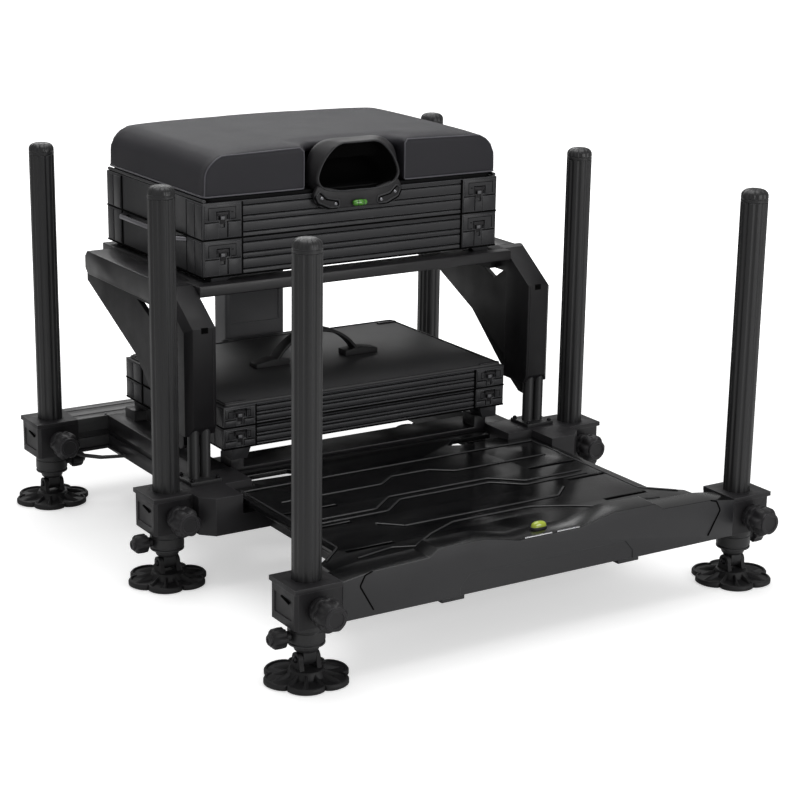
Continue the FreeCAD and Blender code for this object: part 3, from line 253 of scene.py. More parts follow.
def edge_highlight_and_wear(tree: Tree, finish: Finish, colour: Socket) -> Socket:
    """Lighten a colour at its edges: painted highlight, together with rubbed wear from handling.

    Args:
        tree: The material's tree.
        finish: The finish.
        colour: The colour to lighten.

    Returns:
        The lightened colour.
    """
    flat = add_node(tree, "ShaderNodeNewGeometry").outputs["Normal"]
    rounded = add_node(tree, "ShaderNodeBevel", {"Radius": EDGE_HIGHLIGHT_AND_WEAR_RADIUS}, samples=4)
    turn = add_node(tree, "ShaderNodeVectorMath",
                    {0: flat, 1: rounded.outputs["Normal"]}, operation="DOT_PRODUCT")
    edge = add_node(tree, "ShaderNodeMapRange",
                    {"Value": turn.outputs["Value"], "From Min": 0.99, "From Max": 0.86,
                     "To Max": finish.edge})
    # The edge colour is painted highlight as well as the paleness of rubbed wear
    lit_and_worn = tuple(min(c * EDGE_HIGHLIGHT_AND_WEAR_GAIN, 1.0) for c in linear(finish.shade)[:3]) + (1.0,)
    mixed = add_node(tree, "ShaderNodeMix",
                     {"Factor": edge.outputs["Result"], 6: colour, 7: lit_and_worn}, data_type="RGBA")
    return mixed.outputs[2]


def material(finish: Finish) -> bpy.types.Material:
    """Make the material of a finish, once.

    Args:
        finish: The finish.

    Returns:
        The material.
    """
    if finish.name in MADE:
        return MADE[finish.name]
    made = bpy.data.materials.new(finish.name)
    made.use_nodes = True
    tree = made.node_tree
    tree.nodes.clear()
    place = add_node(tree, "ShaderNodeTexCoord").outputs["Object"]
    height = grain_height(tree, finish, place)
    clouds = add_node(tree, "ShaderNodeTexNoise", {"Vector": place, "Scale": CLOUD_SCALE, "Detail": 5.0})
    tint = add_node(tree, "ShaderNodeMix",
                    {"Factor": clouds.outputs["Fac"], 6: linear(finish.colour), 7: linear(finish.shade)},
                    data_type="RGBA")
    colour = tint.outputs[2]
    # Edges are painted lighter: painted highlight and rubbed wear
    if finish.edge:
        colour = edge_highlight_and_wear(tree, finish, colour)
    low = max(finish.roughness - finish.spread, 0.03)
    rough = add_node(tree, "ShaderNodeMapRange",
                     {"Value": clouds.outputs["Fac"], "From Min": 0.3, "From Max": 0.7, "To Min": low,
                      "To Max": finish.roughness + finish.spread}).outputs["Result"]
    if finish.tops:
        way = add_node(tree, "ShaderNodeTexCoord").outputs["Normal"]
        split = add_node(tree, "ShaderNodeSeparateXYZ", {"Vector": way})
        upward = add_node(tree, "ShaderNodeMapRange",
                          {"Value": split.outputs["Z"], "From Min": 0.55,
                           "From Max": 0.75}).outputs["Result"]
        colour = add_node(tree, "ShaderNodeMix",
                          {"Factor": upward, 6: colour, 7: linear(finish.tops)}, data_type="RGBA").outputs[2]
        rough = add_node(tree, "ShaderNodeMix",
                         {0: upward, 2: rough, 3: GLOSSY_TOP}, data_type="FLOAT").outputs[0]
    bump = add_node(tree, "ShaderNodeBump",
                    {"Strength": 1.0, "Distance": finish.depth_mm * MM, "Height": height})
    shader = add_node(tree, "ShaderNodeBsdfPrincipled",
                      {"Base Color": colour, "Roughness": rough, "Specular IOR Level": finish.sheen,
                       "Metallic": finish.metallic, "Coat Weight": finish.coat, "Coat Roughness": 0.06,
                       "Normal": bump.outputs["Normal"]})
    add_node(tree, "ShaderNodeOutputMaterial", {"Surface": shader.outputs["BSDF"]})
    MADE[finish.name] = made
    return made


# Meshes

def to_plain_mesh(piece: Piece) -> Piece:
    """Replace a piece's mesh with its evaluated one and drop its modifiers.

    Args:
        piece: The piece.

    Returns:
        The same piece.
    """
    graph = bpy.context.evaluated_depsgraph_get()
    mesh = bpy.data.meshes.new_from_object(piece.evaluated_get(graph))
    piece.modifiers.clear()
    piece.data = mesh
    return piece


def link(name: str, mesh: bpy.types.Mesh, finish: Finish) -> Piece:
    """Put a mesh in the scene with one finish.

    Args:
        name: The piece's name.
        mesh: Its mesh.
        finish: Its finish.

    Returns:
        The piece.
    """
    piece = bpy.data.objects.new(name, mesh)
    bpy.context.scene.collection.objects.link(piece)
    piece.data.materials.clear()
    piece.data.materials.append(material(finish))
    return piece


def soften(piece: Piece, width_mm: float, segments: int = 2, angle: float = 32.0) -> Piece:
    """Round a piece's sharp edges and shade it smooth.

    Args:
        piece: The piece.
        width_mm: The width of the rounding.
        segments: Its steps.
        angle: The turn in degrees from which an edge is sharp.

    Returns:
        The same piece, with a plain mesh.
    """
    if width_mm:
        bevel = piece.modifiers.new("edge", "BEVEL")
        bevel.width = width_mm * MM
        bevel.segments = segments
        bevel.limit_method = "ANGLE"
        bevel.angle_limit = math.radians(angle)
        bevel.use_clamp_overlap = True
        to_plain_mesh(piece)
    for face in piece.data.polygons:
        face.use_smooth = True
    piece.data.set_sharp_from_angle(angle=math.radians(angle))
    return piece


def body_of(node: str) -> str:
    """Find the body that holds a node.

    Args:
        node: The node's name.

    Returns:
        The body's name.
    """
    for body, members in frame["record"]["behaviour"]["bodies"].items():
        if node in members:
            return body
    raise ValueError(node)


def finished(piece: Piece, node: str, stands_for: bool = False) -> Piece:
    """Let a piece ride with a node's body, and stand for the node if asked.

    Args:
        piece: The piece.
        node: The CAD node that carries it.
        stands_for: Whether the piece takes the node's place.

    Returns:
        The same piece.
    """
    if stands_for:
        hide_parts(node)
    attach(piece, body_of(node))
    LOG.info("made %s", piece.name)
    return piece


def copy_node(node: str, finish: Finish, width_mm: float = 0.7, segments: int = 2) -> Piece:
    """Copy a CAD node as a clean mesh with rounded edges and let it stand for the node.

    Args:
        node: The node's name.
        finish: The finish of the copy.
        width_mm: The width of the rounded edges.
        segments: Their steps.

    Returns:
        The piece.
    """
    mesh = frame["nodes"][node].data.copy()
    piece = link(node + "_skin", mesh, finish)
    work = bmesh.new()
    work.from_mesh(mesh)
    bmesh.ops.remove_doubles(work, verts=work.verts, dist=2e-6)
    bmesh.ops.dissolve_limit(work, angle_limit=math.radians(0.6), verts=work.verts, edges=work.edges)
    work.to_mesh(mesh)
    work.free()
    soften(piece, width_mm, segments)
    return finished(piece, node, True)


def loft(work: Work, rings: Sequence[Sequence[Point]], start: bool = True, end: bool = True) -> None:
    """Join rings of points, in millimetres, into one skin.

    Args:
        work: The mesh to add to.
        rings: The rings, each with as many points.
        start: Whether the first ring is closed by a face.
        end: Whether the last ring is closed by a face.
    """
    rows = [[work.verts.new(Vector(point) * MM) for point in ring] for ring in rings]
    for lower, upper in zip(rows, rows[1:]):
        for i in range(len(lower)):
            j = (i + 1) % len(lower)
            work.faces.new((lower[i], lower[j], upper[j], upper[i]))
    if start:
        work.faces.new(list(reversed(rows[0])))
    if end:
        work.faces.new(rows[-1])


def prism(work: Work, outline: Sequence[Flat], low: float, high: float, place: Place) -> None:
    """Extrude an outline, in millimetres, between two heights, with a placing for each of its points."""
    loft(work, [[place(u, v, height) for u, v in outline] for height in (low, high)])


def closed(work: Work, name: str, finish: Finish, width_mm: float = 0.0, segments: int = 2,
           angle: float = 32.0) -> Piece:
    """Finish a mesh whose faces should point outwards.

    Args:
        work: The mesh, which is freed.
        name: The piece's name.
        finish: Its finish.
        width_mm: The width of its rounded edges.
        segments: Their steps.
        angle: The turn in degrees from which an edge is sharp.

    Returns:
        The piece.
    """
    bmesh.ops.remove_doubles(work, verts=work.verts, dist=1e-6)
    bmesh.ops.recalc_face_normals(work, faces=work.faces)
    mesh = bpy.data.meshes.new(name)
    work.to_mesh(mesh)
    work.free()
    return soften(link(name, mesh, finish), width_mm, segments, angle)


def upright(u: float, v: float, height: float) -> Point:
    """Return the place of a point of a level outline at a height."""
    return u, v, height


def on_face(y: float) -> Place:
    """Return a placing on the face at y: the outline stands in X and Z and its height runs towards -Y."""
    return lambda u, v, height: (u, y - height, v)


def laid(node: str, points: Sequence[Point], way: Point, lift: float) -> list[Point]:
    """Throw points on to a node's surface.

    Args:
        node: The node's name.
        points: The points in millimetres.
        way: The way that they are thrown.
        lift: How far they end above the surface.

    Returns:
        Where they land.
    """
    mesh = frame["nodes"][node].data
    surface = BVHTree.FromPolygons([v.co for v in mesh.vertices], [f.vertices for f in mesh.polygons])
    landed = []
    for point in points:
        place, normal, _, _ = surface.ray_cast(Vector(point) * MM - Vector(way), Vector(way))
        if place is None:
            raise ValueError(f"{node} is missed from {point}")
        landed.append(tuple((place + normal * lift * MM) / MM))
    return landed


def rectangle(u0: float, u1: float, v0: float, v1: float) -> list[Flat]:
    """Return the corners of a rectangle from u0 to u1 and from v0 to v1."""
    return [(u0, v0), (u1, v0), (u1, v1), (u0, v1)]


def mirrored(right: Sequence[Flat]) -> list[Flat]:
    """Return a line or an outline from its right half, with the mirrored left half before it."""
    return [(-u, v) for u, v in reversed(right)] + list(right)


def arc(centre: Flat, radius: float, first: float, last: float, steps: int) -> list[Flat]:
    """Return the points of an arc from one angle in degrees to another, with both its ends."""
    angles = [math.radians(first + (last - first) * step / steps) for step in range(steps + 1)]
    return [(centre[0] + radius * math.cos(a), centre[1] + radius * math.sin(a)) for a in angles]


def ring(radius: Callable[[float], float], steps: int) -> list[Flat]:
    """Return a closed outline from its radius at each share of a turn.

    Args:
        radius: Gives the radius at a share of the turn from 0 to 1.
        steps: How many points it has.

    Returns:
        The outline's points.
    """
    outline = []
    for step in range(steps):
        share = step / steps
        angle = 2 * math.pi * share
        outline.append((radius(share) * math.cos(angle), radius(share) * math.sin(angle)))
    return outline


# Geometry Nodes

def new_tree(name: str, inputs: Sequence[tuple[str, str]]) -> tuple[Tree, bpy.types.Node]:
    """Start a tree with a geometry and named inputs.

    Args:
        name: The tree's name.
        inputs: The name and the socket type of each input after the geometry.

    Returns:
        The tree and its input node.
    """
    tree = bpy.data.node_groups.new(name, "GeometryNodeTree")
    tree.interface.new_socket("Geometry", in_out="INPUT", socket_type="NodeSocketGeometry")
    for label, kind in inputs:
        tree.interface.new_socket(label, in_out="INPUT", socket_type=kind)
    tree.interface.new_socket("Geometry", in_out="OUTPUT", socket_type="NodeSocketGeometry")
    return tree, add_node(tree, "NodeGroupInput")


def end_tree(tree: Tree, source: bpy.types.Node, shape: Socket) -> None:
    """End a tree with real geometry in its own finish.

    Args:
        tree: The tree.
        source: Its input node, which has a Finish input.
        shape: The geometry.
    """
    real = add_node(tree, "GeometryNodeRealizeInstances", {"Geometry": shape})
    smooth = add_node(tree, "GeometryNodeSetShadeSmooth", {"Geometry": real.outputs["Geometry"]})
    dressed = add_node(tree, "GeometryNodeSetMaterial",
                       {"Geometry": smooth.outputs[0], "Material": source.outputs["Finish"]})
    add_node(tree, "NodeGroupOutput", {"Geometry": dressed.outputs["Geometry"]})


def cord_tree() -> Tree:
    """Make the tree that runs a round bead along drawn lines.

    Returns:
        The tree, with inputs for the bead's radius, its eased corners and its finish.
    """
    inputs = [("Radius", "NodeSocketFloat"), ("Corner", "NodeSocketFloat"), ("Finish", "NodeSocketMaterial")]
    tree, source = new_tree("bead_along_lines", inputs)
    lines = add_node(tree, "GeometryNodeMeshToCurve", {"Mesh": source.outputs["Geometry"]})
    eased = add_node(tree, "GeometryNodeFilletCurve",
                     {"Curve": lines.outputs["Curve"], "Count": 5, "Radius": source.outputs["Corner"],
                      "Limit Radius": True}, mode="POLY")
    section = add_node(tree, "GeometryNodeCurvePrimitiveCircle",
                       {"Resolution": 10, "Radius": source.outputs["Radius"]})
    bead = add_node(tree, "GeometryNodeCurveToMesh",
                    {"Curve": eased.outputs["Curve"], "Profile Curve": section.outputs["Curve"],
                     "Fill Caps": True})
    end_tree(tree, source, bead.outputs["Mesh"])
    return tree


def screw_tree() -> Tree:
    """Make the tree that sets a domed socket screw on each point, facing the point's aim.

    Returns:
        The tree, with inputs for the head's radius, the height and the finish.
    """
    inputs = [("Head", "NodeSocketFloat"), ("Height", "NodeSocketFloat"), ("Finish", "NodeSocketMaterial")]
    tree, source = new_tree("screws_on_points", inputs)
    dome_share, key_share, key_depth = 0.62, 0.5, 1.4
    washer = add_node(tree, "GeometryNodeMeshCone",
                      {"Vertices": 20, "Side Segments": 1, "Radius Top": source.outputs["Head"],
                       "Radius Bottom": source.outputs["Head"], "Depth": source.outputs["Height"]})
    half = add_node(tree, "ShaderNodeMath",
                    {0: source.outputs["Head"], 1: dome_share}, operation="MULTIPLY")
    dome = add_node(tree, "GeometryNodeMeshCone",
                    {"Vertices": 20, "Side Segments": 1, "Radius Top": half.outputs[0],
                     "Radius Bottom": source.outputs["Head"], "Depth": source.outputs["Height"]})
    lift = add_node(tree, "ShaderNodeCombineXYZ", {"Z": source.outputs["Height"]})
    raised = add_node(tree, "GeometryNodeTransform",
                      {"Geometry": dome.outputs["Mesh"], "Translation": lift.outputs["Vector"]})
    inner = add_node(tree, "ShaderNodeMath",
                     {0: source.outputs["Head"], 1: key_share}, operation="MULTIPLY")
    deep = add_node(tree, "ShaderNodeMath",
                    {0: source.outputs["Height"], 1: key_depth}, operation="MULTIPLY")
    key = add_node(tree, "GeometryNodeMeshCone",
                   {"Vertices": 6, "Side Segments": 1, "Radius Top": inner.outputs[0],
                    "Radius Bottom": inner.outputs[0], "Depth": deep.outputs[0]})
    high = add_node(tree, "ShaderNodeCombineXYZ", {"Z": deep.outputs[0]})
    socket = add_node(tree, "GeometryNodeTransform",
                      {"Geometry": key.outputs["Mesh"], "Translation": high.outputs["Vector"]})
    hollow = add_node(tree, "GeometryNodeMeshBoolean",
                      {"Mesh 1": raised.outputs["Geometry"], "Mesh 2": socket.outputs["Geometry"]},
                      operation="DIFFERENCE")
    whole = add_node(tree, "GeometryNodeJoinGeometry")
    tree.links.new(washer.outputs["Mesh"], whole.inputs["Geometry"])
    tree.links.new(hollow.outputs["Mesh"], whole.inputs["Geometry"])
    aim = add_node(tree, "GeometryNodeInputNamedAttribute", {"Name": "aim"}, data_type="FLOAT_VECTOR")
    turn = add_node(tree, "FunctionNodeAlignRotationToVector", {"Vector": aim.outputs[0]}, axis="Z")
    points = add_node(tree, "GeometryNodeMeshToPoints", {"Mesh": source.outputs["Geometry"]})
    placed = add_node(tree, "GeometryNodeInstanceOnPoints",
                      {"Points": points.outputs["Points"], "Instance": whole.outputs["Geometry"],
                       "Rotation": turn.outputs["Rotation"]})
    end_tree(tree, source, placed.outputs["Instances"])
    return tree


TREES: dict[str, Tree] = {}


def grow(piece: Piece, tree: Tree, values: dict[str, float], finish: Finish, angle: float = 40.0) -> Piece:
    """Run a tree on a piece and keep the result as a plain mesh.

    Args:
        piece: The piece, whose mesh is the tree's input.
        tree: The tree.
        values: The tree's sizes by input name, in millimetres.
        finish: The finish of what grows.
        angle: The turn in degrees from which an edge is sharp.

    Returns:
        The same piece.
    """
    modifier = piece.modifiers.new("grown", "NODES")
    modifier.node_group = tree
    for item in tree.interface.items_tree:
        if item.in_out == "INPUT" and item.name in values:
            modifier[item.identifier] = values[item.name] * MM
        if item.in_out == "INPUT" and item.name == "Finish":
            modifier[item.identifier] = material(finish)
    to_plain_mesh(piece)
    piece.data.set_sharp_from_angle(angle=math.radians(angle))
    return piece


def beads(name: str, node: str, lines: Sequence[Sequence[Point]], radius: float, finish: Finish,
          corner: float = 0.0, loops: bool = False) -> Piece:
    """Run a round bead along lines of points, in millimetres, on a node's body.

    Args:
        name: The piece's name.
        node: The CAD node that carries it.
        lines: The lines.
        radius: The bead's radius.
        finish: The bead's finish.
        corner: The radius at which a line's corners are eased.
        loops: Whether each line closes on itself.

    Returns:
        The piece.
    """
    verts, edges = [], []
    for line in lines:
        first = len(verts)
        verts += [Vector(point) * MM for point in line]
        edges += [(first + i, first + i + 1) for i in range(len(line) - 1)]
        if loops:
            edges.append((len(verts) - 1, first))
    mesh = bpy.data.meshes.new(name)
    mesh.from_pydata(verts, edges, [])
    if "bead" not in TREES:
        TREES["bead"] = cord_tree()
    piece = grow(link(name, mesh, finish), TREES["bead"], {"Radius": radius, "Corner": corner}, finish, 60.0)
    return finished(piece, node)


def screws(name: str, node: str, places: Sequence[tuple[Point, Point]], head: float, height: float,
           finish: Finish) -> Piece:
    """Set screws on a node's body.

    Args:
        name: The piece's name.
        node: The CAD node that carries them.
        places: Each screw's seat in millimetres and the way that it faces.
        head: The radius of a head.
        height: The height of its washer, half of it sunk.
        finish: Their finish.

    Returns:
        The piece.
    """
    mesh = bpy.data.meshes.new(name)
    mesh.from_pydata([Vector(place) * MM for place, _ in places], [], [])
    aim = mesh.attributes.new("aim", "FLOAT_VECTOR", "POINT")
    for entry, (_, way) in zip(aim.data, places):
        entry.vector = way
    if "screw" not in TREES:
        TREES["screw"] = screw_tree()
    piece = grow(link(name, mesh, finish), TREES["screw"], {"Head": head, "Height": height}, finish)
    return finished(piece, node)


# The studio

@dataclass
class Studio:
    """The camera, lamps, floor and background.

    Args:
        camera_place: Where the camera stands, in metres.
        yaw: Its turn about Z in degrees from looking along +Y.
        pitch: How far it looks down, in degrees.
        roll: Its roll in degrees.
        focal_px: Its focal length in pixels of a square frame.
        frame_px: The width of that frame in pixels.
        sensor_mm: The width of the sensor.
        reach: How far the camera sees, in metres.
        aim: The point that the lamps face, in metres.
        surround: The strength of the surroundings for all but the camera and clear parts.
        floor_half: Half of the floor's width in metres.
        floor_grey: The share of the light that the floor scatters.
        floor_lift: How much the paper glows near the object, so that its shadow stays pale.
        shadow_span: The distances in metres between which that glow rises to white.
    """

    camera_place: Point = (-1.4652, -2.3488, 1.0019)
    yaw: float = -32.520
    pitch: float = 16.038
    roll: float = 0.8907
    focal_px: float = 2051.1
    frame_px: float = 800.0
    sensor_mm: float = 36.0
    reach: float = 120.0
    aim: Point = (0.0, 0.0, 0.3)
    surround: float = 0.31
    floor_half: float = 40.0
    floor_grey: float = 0.84
    floor_lift: float = 0.5
    shadow_span: Flat = (0.75, 1.5)

    def camera(self) -> None:
        """Make the camera at the photograph's viewing angle."""
        data = bpy.data.cameras.new("camera")
        data.sensor_width = self.sensor_mm
        data.lens = self.focal_px / self.frame_px * self.sensor_mm
        data.clip_end = self.reach
        camera = bpy.data.objects.new("camera", data)
        bpy.context.scene.collection.objects.link(camera)
        yaw, pitch, roll = (math.radians(a) for a in (self.yaw, self.pitch, self.roll))
        ahead = Vector((-math.sin(yaw) * math.cos(pitch), math.cos(yaw) * math.cos(pitch), -math.sin(pitch)))
        level = Vector((math.cos(yaw), math.sin(yaw), 0.0))
        above = level.cross(ahead)
        right = level * math.cos(roll) + above * math.sin(roll)
        up = above * math.cos(roll) - level * math.sin(roll)
        turn = Matrix((right, up, -ahead)).transposed().to_4x4()
        camera.matrix_world = Matrix.Translation(self.camera_place) @ turn
        bpy.context.scene.camera = camera

    def lamps(self) -> None:
        """Hang the soft boxes, each with its place and size in metres and its power in watts."""
        for name, place, size, power in (("top_box", (0.1, 0.2, 3.0), (2.6, 2.6), 50.0),
                                         ("left_box", (-3.0, -0.6, 1.9), (1.0, 2.4), 4.5),
                                         ("front_box", (1.0, -3.3, 1.2), (2.0, 1.6), 35.0),
                                         ("back_box", (0.9, 3.0, 2.2), (2.8, 1.2), 27.0)):
            data = bpy.data.lights.new(name, "AREA")
            data.shape = "RECTANGLE"
            data.size, data.size_y = size
            data.energy = power
            lamp = bpy.data.objects.new(name, data)
            bpy.context.scene.collection.objects.link(lamp)
            lamp.location = place
            towards = Vector(self.aim) - Vector(place)
            lamp.rotation_euler = towards.to_track_quat("-Z", "Y").to_euler()

    def world(self) -> None:
        """Make the even surroundings, pure white where the camera or a clear part looks at them."""
        world = bpy.data.worlds.new("surroundings")
        bpy.context.scene.world = world
        world.use_nodes = True
        tree = world.node_tree
        tree.nodes.clear()
        path = add_node(tree, "ShaderNodeLightPath").outputs
        seen = add_node(tree, "ShaderNodeMath",
                        {0: path["Is Camera Ray"], 1: path["Is Transmission Ray"]}, operation="MAXIMUM")
        strength = add_node(tree, "ShaderNodeMapRange",
                            {"Value": seen.outputs[0], "To Min": self.surround, "To Max": 1.0})
        light = add_node(tree, "ShaderNodeBackground",
                         {"Color": (1.0, 1.0, 1.0, 1.0), "Strength": strength.outputs["Result"]})
        add_node(tree, "ShaderNodeOutputWorld", {"Surface": light.outputs["Background"]})

    def floor(self) -> None:
        """Lay the pale floor."""
        half = self.floor_half
        mesh = bpy.data.meshes.new("floor")
        mesh.from_pydata([(x, y, 0) for x, y in rectangle(-half, half, -half, half)], [], [(0, 1, 2, 3)])
        floor = bpy.data.objects.new("floor", mesh)
        bpy.context.scene.collection.objects.link(floor)
        paper = bpy.data.materials.new("white_paper")
        paper.use_nodes = True
        tree = paper.node_tree
        tree.nodes.clear()
        matt = add_node(tree, "ShaderNodeBsdfDiffuse", {"Color": (self.floor_grey,) * 3 + (1.0,)})
        place = add_node(tree, "ShaderNodeTexCoord").outputs["Object"]
        away = add_node(tree, "ShaderNodeVectorMath", {0: place}, operation="LENGTH")
        near, far = self.shadow_span
        fade = add_node(tree, "ShaderNodeMapRange",
                        {"Value": away.outputs["Value"], "From Min": near, "From Max": far,
                         "To Min": self.floor_lift, "To Max": 1.0}, interpolation_type="SMOOTHSTEP")
        path = add_node(tree, "ShaderNodeLightPath").outputs
        lift = add_node(tree, "ShaderNodeMath",
                        {0: path["Is Camera Ray"], 1: fade.outputs["Result"]}, operation="MULTIPLY")
        glow = add_node(tree, "ShaderNodeEmission", {"Strength": lift.outputs[0]})
        both = add_node(tree, "ShaderNodeAddShader", {0: matt.outputs[0], 1: glow.outputs[0]})
        add_node(tree, "ShaderNodeOutputMaterial", {"Surface": both.outputs[0]})
        mesh.materials.append(paper)

    def build(self) -> None:
        """Set the whole studio up."""
        bpy.context.scene.view_settings.view_transform = "Standard"
        self.camera()
        self.lamps()
        self.world()
        self.floor()


# Sub-assemblies, in millimetres

SIDES = {"left": -1, "right": 1}
SIGNS = tuple(SIDES.values())
ROWS = {"rear": 391.0, "middle": 1.0, "front": -375.0}
TRACK = 334.0
LOBES = 6


def lobe(share: float, lobes: int = LOBES) -> float:
    """Return the height of a lobed rim, from 0 between two lobes to 1 on one, at a share of the turn."""
    return 0.5 + 0.5 * math.cos(2 * math.pi * share * lobes)


@dataclass
class Leg:
    """One telescopic leg with its collar, knobs and mud foot.

    Args:
        row: The name of its row.
        side: The name of its side.
        tube_radius: The tube's radius.
        flutes: How many flutes the tube has.
        flute_depth: Their depth.
        flute_share: The share of the turn that they take.
        top: The height of the cap's top.
        cap: The cap's length.
        collar_radius: The radius of the foot collar.
        collar_top: The height of the collar's top.
        ankle_radius: The radius of the ankle under it.
        pin_height: The height of the foot's pin.
        pin_boss: The radius of the tongue and the ears about the pin.
        tongue_half: Half of the width of the tongue.
        ear_span: Where an ear starts and ends beside the tongue.
        knob_reach: How far from the leg's axis the clamp knob starts.
        knob_height: The height of the clamp knob's axis.
        foot_knob_height: The height of the foot knob's axis.
        foot_rim: The foot's largest radius.
        foot_scallop: How far the rim draws in between two lobes.
        foot_ribs: How many ribs the foot has.
    """

    row: str
    side: str
    tube_radius: float = 18.0
    flutes: int = 10
    flute_depth: float = 1.3
    flute_share: float = 0.46
    top: float = 538.0
    cap: float = 17.0
    collar_radius: float = 23.0
    collar_top: float = 75.7
    ankle_radius: float = 16.0
    pin_height: float = 27.0
    pin_boss: float = 9.0
    tongue_half: float = 8.5
    ear_span: Flat = (8.95, 14.9)
    knob_reach: float = 31.0
    knob_height: float = 99.0
    foot_knob_height: float = 59.0
    foot_rim: float = 55.0
    foot_scallop: float = 10.5
    foot_ribs: int = 12

    @property
    def key(self) -> str:
        """Return the ending of its nodes' names."""
        return f"{self.row}_{self.side}"

    @property
    def x(self) -> float:
        """Return the leg's place across the seat."""
        return SIDES[self.side] * TRACK

    @property
    def y(self) -> float:
        """Return the leg's place along the seat."""
        return ROWS[self.row]

    @property
    def knob_side(self) -> int:
        """Return the way that the foot knob points."""
        return -SIDES[self.side] if self.row == "rear" else SIDES[self.side]

    def level(self, outline: Sequence[Flat], z: float) -> list[Point]:
        """Return an outline as a level ring about the leg's axis at a height."""
        return [(self.x + u, self.y + v, z) for u, v in outline]

    def across(self, u: float, v: float, height: float) -> Point:
        """Return the place of a point u and v of a section in Y and Z, whose height runs along X."""
        return self.x + height, self.y + u, v

    def fluted(self, share: float, radius: float, depth: float) -> float:
        """Return the tube's radius at a share of the turn.

        Args:
            share: The share of the turn.
            radius: The radius between the flutes.
            depth: The depth of a flute.

        Returns:
            The radius there.
        """
        u = (share * self.flutes) % 1.0 - 0.5
        half = self.flute_share / 2
        if abs(u) >= half:
            return radius
        return radius - depth * math.cos(math.pi * u / (2 * half)) ** 0.6

    def tube(self) -> None:
        """Build the fluted tube with its domed cap, the collar, the ankle and the tongue."""
        work = bmesh.new()
        steps = 12 * self.flutes
        section = ring(lambda s: self.fluted(s, self.tube_radius, self.flute_depth), steps)
        cap_bottom = self.top - self.cap
        loft(work, [self.level(section, z) for z in (self.collar_top - 25.0, cap_bottom)])
        dome = [(cap_bottom, 0.93, 0.0), (cap_bottom + 0.6, 1.0, 0.0), (cap_bottom + 4.0, 1.0, 0.0),
                (cap_bottom + 4.6, 0.95, 0.0), (cap_bottom + 5.2, 1.0, 0.25), (self.top - 7.0, 0.985, 1.0),
                (self.top - 4.0, 0.90, 1.3), (self.top - 1.6, 0.74, 1.2), (self.top - 0.4, 0.52, 0.6),
                (self.top, 0.3, 0.0)]
        loft(work, [self.level(ring(lambda s: self.fluted(s, self.tube_radius * r, d), steps), z)
                    for z, r, d in dome])
        high, wide, ankle = self.collar_top, self.collar_radius, self.ankle_radius
        drops = [(0.0, 21.6), (1.2, wide), (9.0, wide), (9.4, 22.2), (11.0, 22.2), (11.4, wide),
                 (24.0, wide), (24.4, 21.6), (26.4, 21.6), (26.8, wide), (29.0, wide), (30.0, 21.0),
                 (31.0, ankle), (34.0, ankle), (37.0, ankle - 1.0), (38.3, ankle - 2.0)]
        loft(work, [self.level(ring(lambda s: r, 48), high - drop) for drop, r in drops])
        knurl = ring(lambda s: wide - 0.9 * lobe(s, 18), 144)
        loft(work, [self.level(knurl, high - drop) for drop in (12.2, 23.2)])
        tongue = [(-self.pin_boss, 38.0)] + arc((0.0, self.pin_height), self.pin_boss, -180, 0, 12)
        prism(work, tongue + [(self.pin_boss, 38.0)], -self.tongue_half, self.tongue_half, self.across)
        piece = closed(work, f"leg_{self.key}_skin", ANODISED, 0.3, 1, 28.0)
        finished(piece, f"leg_{self.key}", True)

    def knob(self, node: str, place: Place, stations: Sequence[tuple[float, float, float]]) -> None:
        """Build one lobed knob.

        Args:
            node: The node that it stands for.
            place: Turns a section's coordinates and the distance along the axis to a point.
            stations: The distance, radius and scallop depth of each section.
        """
        work = bmesh.new()
        rings = []
        for distance, radius, scallop in stations:
            outline = ring(lambda s: radius - scallop * (1.0 - lobe(s)) ** 1.6, 96)
            rings.append([place(u, v, distance) for u, v in outline])
        loft(work, rings)
        finished(closed(work, f"{node}_skin", NYLON, 0.0, 1, 34.0), node, True)

    def knobs(self) -> None:
        """Build the clamp knob and the foot knob."""
        grip = [(0.3, 14.6, 0.0), (1.2, 15.4, 0.0), (5.4, 15.4, 0.0), (6.6, 14.0, 0.0), (8.0, 14.0, 0.0),
                (8.6, 17.6, 1.6), (9.8, 18.8, 2.4), (15.0, 19.2, 2.6), (16.4, 18.2, 2.2), (17.2, 16.4, 1.0),
                (18.6, 16.4, 1.0), (19.6, 18.8, 2.6), (21.2, 19.9, 3.2), (31.0, 19.9, 3.4),
                (34.0, 18.6, 2.8), (36.4, 16.4, 1.6), (37.0, 14.6, 0.0), (39.2, 14.4, 0.0),
                (40.0, 13.4, 0.0), (40.0, 10.4, 0.0), (38.6, 9.8, 0.0), (38.4, 4.0, 0.0)]
        self.knob(f"clamp_knob_{self.key}",
                  lambda u, v, d: (self.x + u, self.y - self.knob_reach - d, self.knob_height + v), grip)
        small = [(0.0, 6.0, 0.0), (0.8, 6.6, 0.0), (5.6, 6.6, 0.0), (6.6, 10.6, 1.0), (8.0, 12.6, 1.8),
                 (14.0, 13.0, 2.0), (21.6, 12.6, 1.8), (24.0, 11.0, 1.2), (24.8, 9.4, 0.4), (25.0, 7.0, 0.0),
                 (27.8, 6.6, 0.0), (28.6, 5.6, 0.0), (28.6, 3.6, 0.0), (27.4, 3.2, 0.0)]
        self.knob(f"foot_knob_{self.key}",
                  lambda u, v, d: (self.x + self.knob_side * (self.collar_radius + 0.4 + d), self.y + u,
                                   self.foot_knob_height + v), small)

    def foot_radius(self, share: float) -> float:
        """Return the radius of the foot's lobed rim at a share of the turn."""
        return self.foot_rim - self.foot_scallop * (1 - lobe(share) ** 0.28)

